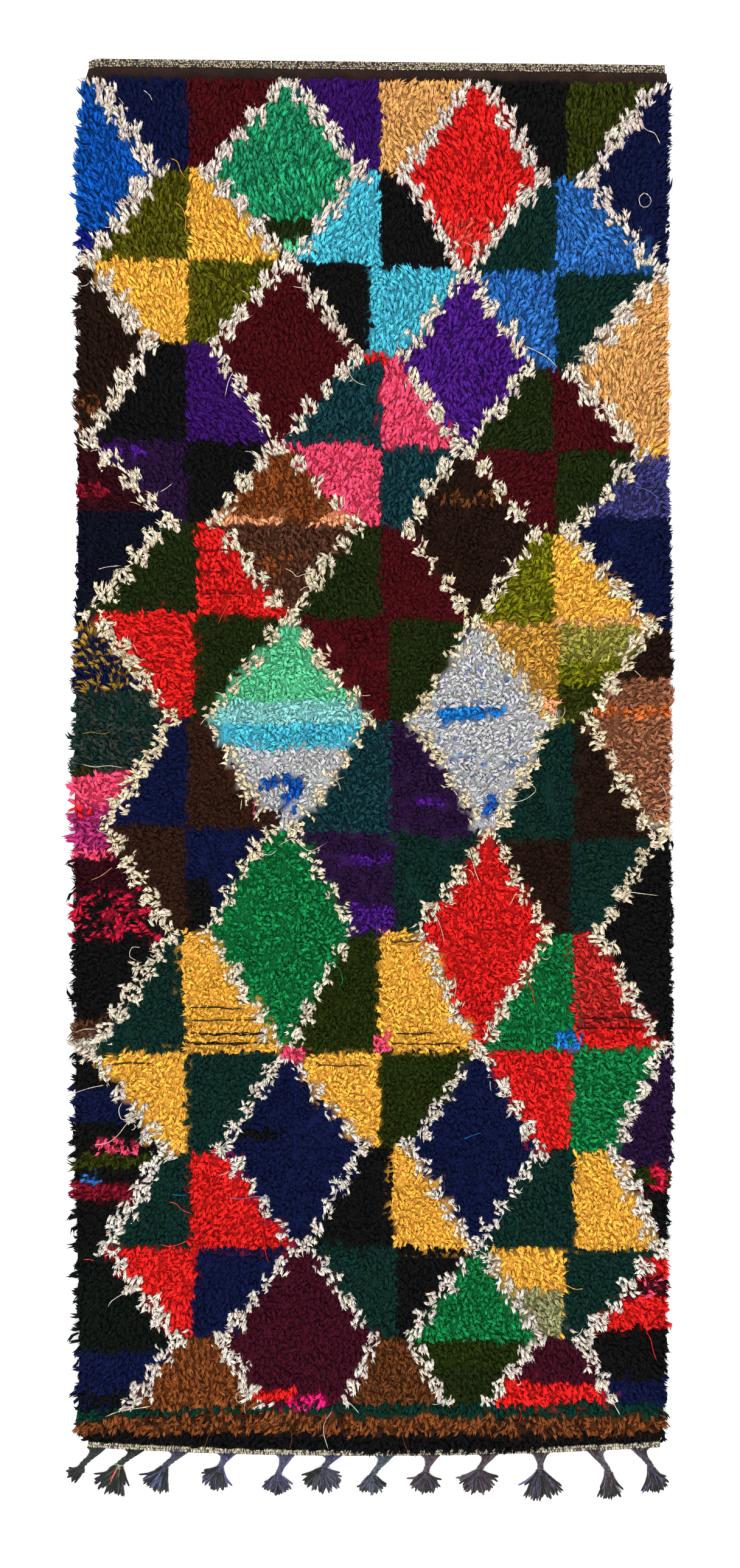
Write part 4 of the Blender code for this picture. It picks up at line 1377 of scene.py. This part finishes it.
def weaveGroup():
    group = bpy.data.node_groups.new("weftWeave", "ShaderNodeTree")
    group.interface.new_socket("Colour", in_out="INPUT", socket_type="NodeSocketColor")
    for name in ("Ribs", "Picks", "Depth", "Knot Rows", "Knots"):
        socket = group.interface.new_socket(name, in_out="INPUT", socket_type="NodeSocketFloat")
        socket.default_value = 0.5
    group.interface.new_socket("Weft", in_out="INPUT", socket_type="NodeSocketColor")
    group.interface.new_socket("Faded Weft", in_out="INPUT", socket_type="NodeSocketColor")
    group.interface.new_socket("Colour", in_out="OUTPUT", socket_type="NodeSocketColor")
    group.interface.new_socket("Normal", in_out="OUTPUT", socket_type="NodeSocketVector")
    nodes, links = group.nodes, group.links
    given = nodes.new("NodeGroupInput")
    given.location = (-1500, 0)
    place = nodes.new("ShaderNodeTexCoord")
    place.location = (-1500, -300)
    apart = nodes.new("ShaderNodeSeparateXYZ")
    apart.location = (-1300, -300)
    links.new(place.outputs["Object"], apart.inputs[0])
    # Each pick goes over one rib and under the next, and the next pick the other way
    picks = addMath(nodes, links, "MULTIPLY", apart.outputs[1], given.outputs["Picks"], place=(-1100, -200))
    number = addMath(nodes, links, "FLOOR", picks, None, place=(-920, -120))
    inPick = addMath(nodes, links, "FRACT", picks, None, place=(-920, -280))
    halfTurn = addMath(nodes, links, "MULTIPLY", inPick, math.pi, place=(-740, -280))
    crown = addMath(nodes, links, "SINE", halfTurn, None, place=(-560, -280))
    ribs = addMath(nodes, links, "MULTIPLY", apart.outputs[0], given.outputs["Ribs"], place=(-1100, -460))
    shifted = addMath(nodes, links, "MULTIPLY_ADD", number, 0.5, ribs, place=(-740, -460))
    turned = addMath(nodes, links, "MULTIPLY", shifted, 2 * math.pi, place=(-560, -460))
    over = addMath(nodes, links, "COSINE", turned, None, place=(-380, -460))
    weave = addMath(nodes, links, "MULTIPLY_ADD", over, weaveLook["over"], crown, place=(-200, -380))
    worn = nodes.new("ShaderNodeTexNoise")
    worn.location = (-1100, 260)
    worn.inputs["Scale"].default_value = weaveLook["wornScale"]
    worn.inputs["Detail"].default_value = weaveLook["wornDetail"]
    links.new(place.outputs["Object"], worn.inputs["Vector"])
    grain = nodes.new("ShaderNodeTexNoise")
    grain.location = (-1100, 20)
    grain.inputs["Scale"].default_value = weaveLook["grainScale"]
    grain.inputs["Detail"].default_value = weaveLook["grainDetail"]
    links.new(place.outputs["Object"], grain.inputs["Vector"])
    patches = nodes.new("ShaderNodeMapRange")
    patches.location = (-900, 260)
    patches.inputs["From Min"].default_value = weaveLook["wornFrom"]
    patches.inputs["From Max"].default_value = weaveLook["wornTo"]
    links.new(worn.outputs["Fac"], patches.inputs["Value"])
    weft = nodes.new("ShaderNodeMix")
    weft.data_type = "RGBA"
    weft.location = (-700, 300)
    links.new(patches.outputs[0], weft.inputs["Factor"])
    links.new(given.outputs["Weft"], weft.inputs["A"])
    links.new(given.outputs["Faded Weft"], weft.inputs["B"])
    # Rows of knot backs show between the wefts on the underside
    rows = addMath(nodes, links, "MULTIPLY", apart.outputs[1], given.outputs["Knot Rows"], place=(-700, 80))
    inRow = addMath(nodes, links, "FRACT", rows, None, place=(-540, 80))
    knotRow = addMath(nodes, links, "LESS_THAN", inRow, 0.5, place=(-380, 80))
    back = addMath(nodes, links, "MULTIPLY", knotRow, given.outputs["Knots"], place=(-220, 80))
    both = nodes.new("ShaderNodeMix")
    both.data_type = "RGBA"
    both.location = (-40, 260)
    links.new(back, both.inputs["Factor"])
    links.new(weft.outputs["Result"], both.inputs["A"])
    links.new(given.outputs["Colour"], both.inputs["B"])
    grey = grain.outputs["Fac"]
    shade, darkest = weaveLook["grainShade"], weaveLook["darkest"]
    grainShade = addMath(nodes, links, "MULTIPLY_ADD", grey, shade, darkest, place=(-200, -80))
    # Painted shade of the weave's relief: the colour is a little lighter where a pick rises and darker where
    # it dips, over the grain's own tone
    pickShade = weaveLook["pickShade"]
    weaveShade = addMath(nodes, links, "MULTIPLY_ADD", weave, pickShade, grainShade, place=(0, -120))
    tint = nodes.new("ShaderNodeVectorMath")
    tint.operation = "SCALE"
    tint.location = (180, 160)
    links.new(both.outputs["Result"], tint.inputs[0])
    links.new(weaveShade, tint.inputs["Scale"])
    height = addMath(nodes, links, "MULTIPLY_ADD", grey, weaveLook["grainHeight"], weave, place=(0, -320))
    bump = nodes.new("ShaderNodeBump")
    bump.location = (200, -260)
    bump.inputs["Distance"].default_value = weaveLook["bumpHeight"]
    links.new(given.outputs["Depth"], bump.inputs["Strength"])
    links.new(height, bump.inputs["Height"])
    result = nodes.new("NodeGroupOutput")
    result.location = (420, 0)
    links.new(tint.outputs[0], result.inputs["Colour"])
    links.new(bump.outputs[0], result.inputs["Normal"])
    return group


def groundMaterial():
    material = bpy.data.materials.new("groundWeave")
    material.use_nodes = True
    nodes, links = material.node_tree.nodes, material.node_tree.links
    shader = nodes["Principled BSDF"]
    shader.inputs["Roughness"].default_value = ground["rough"]
    shader.inputs["Specular IOR Level"].default_value = ground["shine"]
    backs = nodes.new("ShaderNodeVertexColor")
    backs.layer_name = "yarnColour"
    backs.location = (-900, 200)
    # Alpha of the attribute says how much of the knots' backs shows here
    weave = nodes.new("ShaderNodeGroup")
    weave.node_tree = weaveGroup()
    weave.location = (-400, 100)
    weave.inputs["Ribs"].default_value = 1 / ground["rib"]
    weave.inputs["Picks"].default_value = 1 / ground["pick"]
    weave.inputs["Knot Rows"].default_value = 1 / pile["rowPitch"]
    weave.inputs["Weft"].default_value = (*linearColour(ground["brown"]), 1)
    weave.inputs["Faded Weft"].default_value = (*linearColour(ground["rust"]), 1)
    links.new(backs.outputs["Color"], weave.inputs["Colour"])
    links.new(backs.outputs["Alpha"], weave.inputs["Knots"])
    links.new(weave.outputs["Colour"], shader.inputs["Base Color"])
    links.new(weave.outputs["Normal"], shader.inputs["Normal"])
    return material


def buildGround():
    def place(across, along):
        levelY = levelAt(along, rug["headingWide"])
        left, right = edgeX("left", levelY), edgeX("right", levelY)
        x = left + (right - left) * across
        scallop = smoothNoise(across * 0, levelY, ground["scallopSpan"], "scallop")[:, 0] * ground["scallop"]
        x += scallop * (across < 1e-4) - scallop * (across > 1 - 1e-4)
        upper = headingY(x) - rug["headingWide"] - ground["gap"]
        lower = endY(x) + rug["twiningWide"] + ground["gap"]
        return np.stack([x, lower + (upper - lower) * along, np.zeros(len(x))], axis=1)

    bm = clothGrid(ground["columns"], ground["rows"], place)
    closeAcross(bm, rug["groundThick"])
    obj = finishObject("ground_cloth", bm, groundMaterial(), smooth=False)
    points = meshPoints(obj.data)
    picked = latticeYarn(points[:, 0], points[:, 1], rng.random(len(points)))
    below = points[:, 2] < rug["groundThick"] / 4
    paintPoints(obj.data, yarnLinear[picked] * ground["backShade"], below)
    return obj


# Twined ends: rows of slanting stitches over a dark core. A stitch is long, wide and tall.
heading = {
    "pitch": 0.0036, "rows": 4, "rowStep": 0.0035, "stitch": (0.0025, 0.0015, 0.0018), "slant": 44,
    "loose": 0.0009, "slantLoose": 22, "sizeLoose": 0.28, "toneLoose": 0.24,
    "coreZ": 0.0036, "core": (44, 33, 30), "from": -0.535, "to": 0.553, "droop": 0.006, "corner": 0.02,
    "yarns": (
        ((152, 141, 117), 0.52), ((134, 124, 104), 0.20), ((54, 42, 38), 0.14), ((98, 78, 62), 0.08),
        ((110, 98, 120), 0.02), ((44, 74, 54), 0.02), ((34, 34, 52), 0.02),
    ),
}
ending = {
    "pitch": 0.0028, "rows": 2, "rowStep": 0.0056, "stitch": (0.0044, 0.0016, 0.0017), "slant": 74,
    "loose": 0.0008, "slantLoose": 15, "sizeLoose": 0.28, "toneLoose": 0.2,
    "coreZ": 0.0030, "core": (70, 62, 58), "from": -0.536, "to": 0.544, "droop": 0, "corner": 0.02,
    "yarns": (
        ((170, 163, 138), 0.62), ((182, 177, 162), 0.14), ((136, 123, 90), 0.09), ((70, 58, 56), 0.10),
        ((92, 86, 110), 0.05),
    ),
}
twine = {
    "inset": 0.002, "waveSpan": 0.09, "waveStep": 0.15, "wave": 0.0016, "across": 0.6, "lift": 0.35,
    "sideDrop": 0.0006, "foot": 0.0012, "under": 0.0002, "columns": 108, "rows": 6,
}


def pickYarns(choices, count):
    colours = np.array([linearColour(rgb) for rgb, _ in choices])
    weights = np.array([share for _, share in choices])
    return colours[rng.choice(len(choices), count, p=weights / weights.sum())]


def cornerDroop(look, x):
    # The left end turns down round the corner
    return look["droop"] * np.clip((look["from"] + look["corner"] - x) / look["corner"], 0, 1) ** 2


def stitchRow(look, row, middleY, shape):
    # Every stitch of one row, at its place and in its colour
    count = round((look["to"] - look["from"]) / look["pitch"])
    fromMiddle = row - (look["rows"] - 1) / 2
    along = look["from"] + (np.arange(count) + 0.5 + 0.5 * (row % 2)) * look["pitch"]
    along += rng.normal(0, look["loose"], count)
    along = np.clip(along, look["from"] + twine["inset"], look["to"] - twine["inset"])
    level = row * twine["waveStep"]
    wave = [noise.noise(Vector((x / twine["waveSpan"], level, noiseHeight["twine"]))) for x in along]
    across = middleY(along) + fromMiddle * look["rowStep"] + np.array(wave) * twine["wave"]
    across += rng.normal(0, look["loose"] * twine["across"], count) - cornerDroop(look, along)
    slant = look["slant"] if row % 2 else -look["slant"]
    turn = np.radians(slant + rng.normal(0, look["slantLoose"], count))
    size = (1 + rng.uniform(-1, 1, (count, 3)) * look["sizeLoose"]) * look["stitch"]
    local = shape["points"][None] * size[:, None, :]
    cos, sin = np.cos(turn)[:, None], np.sin(turn)[:, None]
    z = look["coreZ"] + look["stitch"][2] * twine["lift"] - twine["sideDrop"] * abs(fromMiddle)
    places = np.stack([
        along[:, None] + local[:, :, 0] * cos - local[:, :, 1] * sin,
        across[:, None] + local[:, :, 0] * sin + local[:, :, 1] * cos,
        z + local[:, :, 2],
    ], axis=2)
    tone = np.exp(rng.normal(0, look["toneLoose"], count))[:, None]
    colours = pickYarns(look["yarns"], count) * tone
    return places, np.repeat(colours[:, None], len(shape["points"]), axis=1)


def buildTwining(name, look, middleY, wide):
    shape = beadShape(5, 3)
    places, colours = zip(*[stitchRow(look, row, middleY, shape) for row in range(look["rows"])])
    colours = np.clip(np.concatenate(colours), 0, brightest)
    stitches = {"shape": shape, "places": np.concatenate(places), "colours": colours}
    obj = joinCopies(name, [stitches], twineWool)

    def place(share, over):
        x = look["from"] + (look["to"] - look["from"]) * share
        bulge = np.sqrt(np.clip(1 - (2 * over - 1) ** 2, 0, 1))
        y = middleY(x) + (over - 0.5) * wide - cornerDroop(look, x)
        return np.stack([x, y, twine["foot"] + (look["coreZ"] - twine["foot"]) * bulge], axis=1)

    bm = clothGrid(twine["columns"], twine["rows"], place)
    closeAcross(bm, twine["under"])
    core = finishObject(name + "_core", bm, twineWool)
    paintPoints(core.data, linearColour(look["core"]))
    return obj, core


# Tassels: plaited warps, with the same places and lengths as their solids. Turn and spread are in degrees.
tassels = [
    {"rootX": -0.520, "knotX": -0.551, "drop": 0.040, "brush": 0.030, "turn": -52, "spread": 50, "yarns": 22,
     "wool": ((38, 44, 42), (22, 26, 28), (52, 56, 60))},
    {"rootX": -0.448, "knotX": -0.478, "drop": 0.030, "brush": 0.060, "turn": -22, "spread": 64, "yarns": 44,
     "wool": ((22, 25, 26), (30, 34, 30), (40, 46, 32), (46, 50, 54), (28, 30, 34), (76, 84, 62))},
    {"rootX": -0.365, "knotX": -0.393, "drop": 0.031, "brush": 0.050, "turn": -26, "spread": 62, "yarns": 40,
     "wool": ((62, 62, 84), (40, 44, 36), (48, 52, 40), (84, 84, 128), (34, 36, 46))},
    {"rootX": -0.274, "knotX": -0.288, "drop": 0.029, "brush": 0.042, "turn": -24, "spread": 86, "yarns": 40,
     "wool": ((66, 66, 94), (48, 50, 62), (92, 92, 138), (52, 54, 46), (40, 40, 58))},
    {"rootX": -0.163, "knotX": -0.178, "drop": 0.042, "brush": 0.035, "turn": -2, "spread": 120, "yarns": 40,
     "wool": ((74, 76, 104), (60, 62, 78), (46, 48, 58), (86, 74, 112))},
    {"rootX": -0.075, "knotX": -0.093, "drop": 0.027, "brush": 0.046, "turn": 0, "spread": 130, "yarns": 52,
     "wool": ((70, 68, 98), (54, 54, 72), (42, 44, 54), (64, 66, 64))},
    {"rootX": 0.024, "knotX": 0.000, "drop": 0.041, "brush": 0.034, "turn": 0, "spread": 112, "yarns": 40,
     "wool": ((72, 80, 92), (58, 68, 64), (46, 48, 56), (84, 82, 106))},
    {"rootX": 0.111, "knotX": 0.101, "drop": 0.036, "brush": 0.038, "turn": 0, "spread": 110, "yarns": 42,
     "wool": ((82, 70, 80), (66, 56, 60), (50, 44, 50), (76, 68, 98))},
    {"rootX": 0.220, "knotX": 0.201, "drop": 0.034, "brush": 0.044, "turn": 0, "spread": 134, "yarns": 52,
     "wool": ((80, 68, 72), (62, 50, 54), (46, 38, 42), (78, 70, 96))},
    {"rootX": 0.318, "knotX": 0.318, "drop": 0.036, "brush": 0.056, "turn": 6, "spread": 88, "yarns": 50,
     "wool": ((82, 76, 82), (54, 40, 44), (46, 48, 38), (84, 74, 120), (62, 56, 58))},
    {"rootX": 0.424, "knotX": 0.447, "drop": 0.043, "brush": 0.050, "turn": 4, "spread": 44, "yarns": 40,
     "wool": ((82, 76, 86), (54, 42, 44), (46, 46, 36), (108, 98, 124), (40, 34, 36))},
    {"rootX": 0.506, "knotX": 0.528, "drop": 0.039, "brush": 0.048, "turn": 20, "spread": 46, "yarns": 40,
     "wool": ((76, 70, 80), (44, 34, 34), (46, 42, 36), (82, 74, 118), (34, 28, 30))},
]
warps = {
    "count": 8, "rootHalf": 0.017, "run": (-0.06, 0.60), "narrow": 0.83, "thick": 0.0023, "z": 0.0028,
    "rise": 0.0044, "taper": (1, 1, 1, 1, 0.9, 0.5),
}
plait = {
    "half": 0.0034, "yarn": 0.0031, "turn": 0.0170, "z": 0.0050, "wave": 0.0015, "run": (0.16, 1.02),
    "rings": 18, "tones": (0.9, 1.1, 0.8), "press": 0.9,
}
wrapping = {
    "turns": 3, "rings": 12, "half": 0.0074, "step": 0.0028, "slant": 0.0012, "down": 0.0005, "z": 0.0048,
    "lowest": 0.0022, "yarn": 0.0021, "tone": 0.9, "pale": {2: (132, 138, 118)},
}
# The cut ends' rings carry painted shade, darkest at the knot where they bunch
brush = {
    "dense": 1.7, "bend": 11, "layers": (0.74, 0.9, 1.0), "halfWide": (0.0023, 0.0034), "long": (0.84, 1.04),
    "rootWide": 0.012, "sway": 0.0012, "layerStep": 0.0021, "layerZ": 0.0024, "endZ": 0.0018,
    "knotRise": 0.0012, "dark": (19, 23, 15), "darkShare": 0.34, "press": 0.7,
    "steps": (0.0, 0.3, 0.62, 0.92, 1.0),
    "widths": (1.0, 1.15, 1.15, 0.9, 0.4), "paintedShading": (0.6, 0.9, 1, 1, 0.95),
}
# Single yarns of their own colour on top of a brush: how far across, how many and the colour
oddEnds = {2: ((1 / 4, 2, (226, 96, 92)), (2 / 3, 1, (140, 156, 114)))}


def smoothShare(share):
    return (3 - 2 * share) * share * share


def plaitSpot(row, share):
    # Down the middle of a plait, as its solid runs
    y = endY(row["rootX"]) - 0.0003 - row["drop"] * share
    return np.stack([row["rootX"] + (row["knotX"] - row["rootX"]) * smoothShare(share), y], axis=-1)


def tasselPart(shape, lines, radii, tone, paintedShading, press=1.0):
    return {
        "shape": shape,
        "places": yarnPlaces(shape, lines, radii, press=press),
        "colours": paintRings(shape, tone, np.tile(paintedShading, (len(lines), 1))),
    }


def gatheredWarps(row, wool):
    # Warps that leave the cloth side by side and gather into the plait
    count, rings = warps["count"], len(warps["taper"])
    side = np.linspace(-1, 1, count)
    steps = np.linspace(0, 1, rings)
    middle = plaitSpot(row, np.linspace(*warps["run"], rings))
    lines = np.empty((count, rings, 3))
    narrow = 1 - steps ** 0.55 * warps["narrow"]
    lines[:, :, 0] = middle[:, 0] + side[:, None] * warps["rootHalf"] * narrow
    lines[:, :, 1] = middle[:, 1] + (endY(lines[:, :, 0]) - endY(row["rootX"])) * (1 - steps)
    lines[:, :, 2] = warps["z"] + warps["rise"] * steps
    radii = np.tile(warps["taper"], (count, 1)) * warps["thick"]
    tone = wool[rng.integers(0, 2, count)] * rng.uniform(0.8, 1.25, (count, 1))
    return tasselPart(yarnShape(4, rings - 1), lines, radii, tone, np.ones(rings))


def plaitStrands(row, wool):
    # Three strands plaited flat
    rings = plait["rings"]
    share = np.linspace(*plait["run"], rings)
    middle = plaitSpot(row, share)
    ahead = np.gradient(middle, axis=0)
    ahead /= np.linalg.norm(ahead, axis=1, keepdims=True)
    phase = share * row["drop"] / plait["turn"] * 2 * math.pi
    lines = np.empty((3, rings, 3))
    for strand in range(3):
        angle = phase + strand * 2 * math.pi / 3
        sway = np.sin(angle) * plait["half"]
        lines[strand, :, 0] = middle[:, 0] - ahead[:, 1] * sway
        lines[strand, :, 1] = middle[:, 1] + ahead[:, 0] * sway
        lines[strand, :, 2] = plait["z"] + np.sin(2 * angle) * plait["wave"]
    radii = np.tile(np.r_[0.7, np.ones(rings - 2), 0.6], (3, 1)) * plait["yarn"]
    tone = (wool[:3] + wool.mean(axis=0)) / 2 * np.array(plait["tones"])[:, None]
    part = tasselPart(yarnShape(6, rings - 1), lines, radii, tone, np.ones(rings), plait["press"])
    return part, ahead[-1]


def knotWrapping(number, knot, down, wool):
    # Turns of yarn round the plait's foot
    turns, rings = wrapping["turns"], wrapping["rings"]
    angle = np.linspace(-0.35 * math.pi, 1.35 * math.pi, rings)
    across = np.outer(np.cos(angle) * wrapping["half"], (-down[1], down[0]))
    lines = np.empty((turns, rings, 3))
    for turn in range(turns):
        slide = (turn - 1) * wrapping["step"] + np.cos(angle) * wrapping["slant"] + wrapping["down"]
        lines[turn, :, :2] = knot + across + np.outer(slide, down)
        lines[turn, :, 2] = np.maximum(wrapping["z"] * (1 + np.sin(angle)), wrapping["lowest"])
    radii = np.tile(np.r_[0.5, np.ones(rings - 2), 0.3], (turns, 1)) * wrapping["yarn"]
    tone = np.tile(wool.mean(axis=0) * wrapping["tone"], (turns, 1))
    if number in wrapping["pale"]:
        tone[:] = linearColour(wrapping["pale"][number])
    return tasselPart(yarnShape(4, rings - 1), lines, radii, tone, np.ones(rings))


def cutEnds(number, row, knot, wool):
    # Yarns fanned out on the floor in three layers, the shortest on top
    count = round(row["yarns"] * brush["dense"])
    fan = (np.arange(count) + rng.uniform(0.2, 0.8, count)) / count - 0.5
    layer = rng.permutation(count) % 3
    turn = np.radians(row["turn"] + row["spread"] * fan)
    length = row["brush"] * rng.uniform(*brush["long"], count) * np.array(brush["layers"])[layer]
    bend = np.radians(rng.normal(0, brush["bend"], count))
    steps = np.array(brush["steps"])
    turns = turn[:, None] + bend[:, None] * steps
    lines = np.empty((count, len(steps), 3))
    sway = rng.normal(0, brush["sway"], (count, 1)) * np.sin(steps * math.pi * 1.5)
    sway += fan[:, None] * brush["rootWide"] * (1 - 0.6 * steps)
    lines[:, :, 0] = knot[0] + np.sin(turns) * length[:, None] * steps + np.cos(turns) * sway
    lines[:, :, 1] = knot[1] - np.cos(turns) * length[:, None] * steps + np.sin(turns) * sway
    lift = brush["layerZ"] + (2 - layer[:, None]) * brush["layerStep"]
    lines[:, :, 2] = brush["endZ"] + lift * (1 - steps) + (steps < 0.4) * brush["knotRise"]
    width = length * math.radians(row["spread"]) / count
    radii = np.clip(width * 2, *brush["halfWide"])[:, None] * np.array(brush["widths"])
    tone = wool[rng.integers(0, len(wool), count)] * rng.uniform(0.5, 1.2, (count, 1))
    tone[rng.random(count) < brush["darkShare"]] = linearColour(brush["dark"])
    upper = np.flatnonzero(layer == 0)
    for share, ends, colour in oddEnds.get(number, ()):
        first = int(len(upper) * share)
        tone[upper[first:first + ends]] = linearColour(colour)
    return tasselPart(yarnShape(3, len(steps) - 1), lines, radii, tone, brush["paintedShading"], brush["press"])


def buildTassel(number, row):
    wool = np.array([linearColour(rgb) for rgb in row["wool"]])
    knot = plaitSpot(row, np.array(1.0))
    gathered = gatheredWarps(row, wool)
    strands, down = plaitStrands(row, wool)
    parts = [gathered, strands, knotWrapping(number, knot, down, wool), cutEnds(number, row, knot, wool)]
    return joinCopies(f"warp_tassel_{number:02d}", parts, warpWool)


groundCloth = buildGround()
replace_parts(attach(groundCloth, "root"), "ground_weave")
print("ground cloth woven")

pileBed = buildBed()
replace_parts(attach(pileBed, "root"), "pile_field")
for piece in [*buildPile(), buildLooseYarns()]:
    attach(piece, "root")
    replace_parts(piece, "pile_field")

for node, look, middleY, wide in (
    ("heading_twining", heading, lambda x: headingY(x) - rug["headingWide"] / 2, rug["headingWide"]),
    ("end_twining", ending, lambda x: endY(x) + rug["twiningWide"] / 2, rug["twiningWide"]),
):
    for piece in buildTwining(node.replace("_", "_yarn_"), look, middleY, wide):
        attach(piece, "root")
        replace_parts(piece, node)
print("ends twined")

for number, row in enumerate(tassels, 1):
    tassel = buildTassel(number, row)
    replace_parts(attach(tassel, "root"), f"tassel_{number:02d}")
print("tassels plaited:", len(tassels))

pieces = [obj for obj in bpy.data.objects if obj.parent and obj.type == "MESH" and not obj.hide_render]
triangles = sum(len(face.vertices) - 2 for piece in pieces for face in piece.data.polygons)
print("pieces:", len(pieces), "triangles:", triangles)
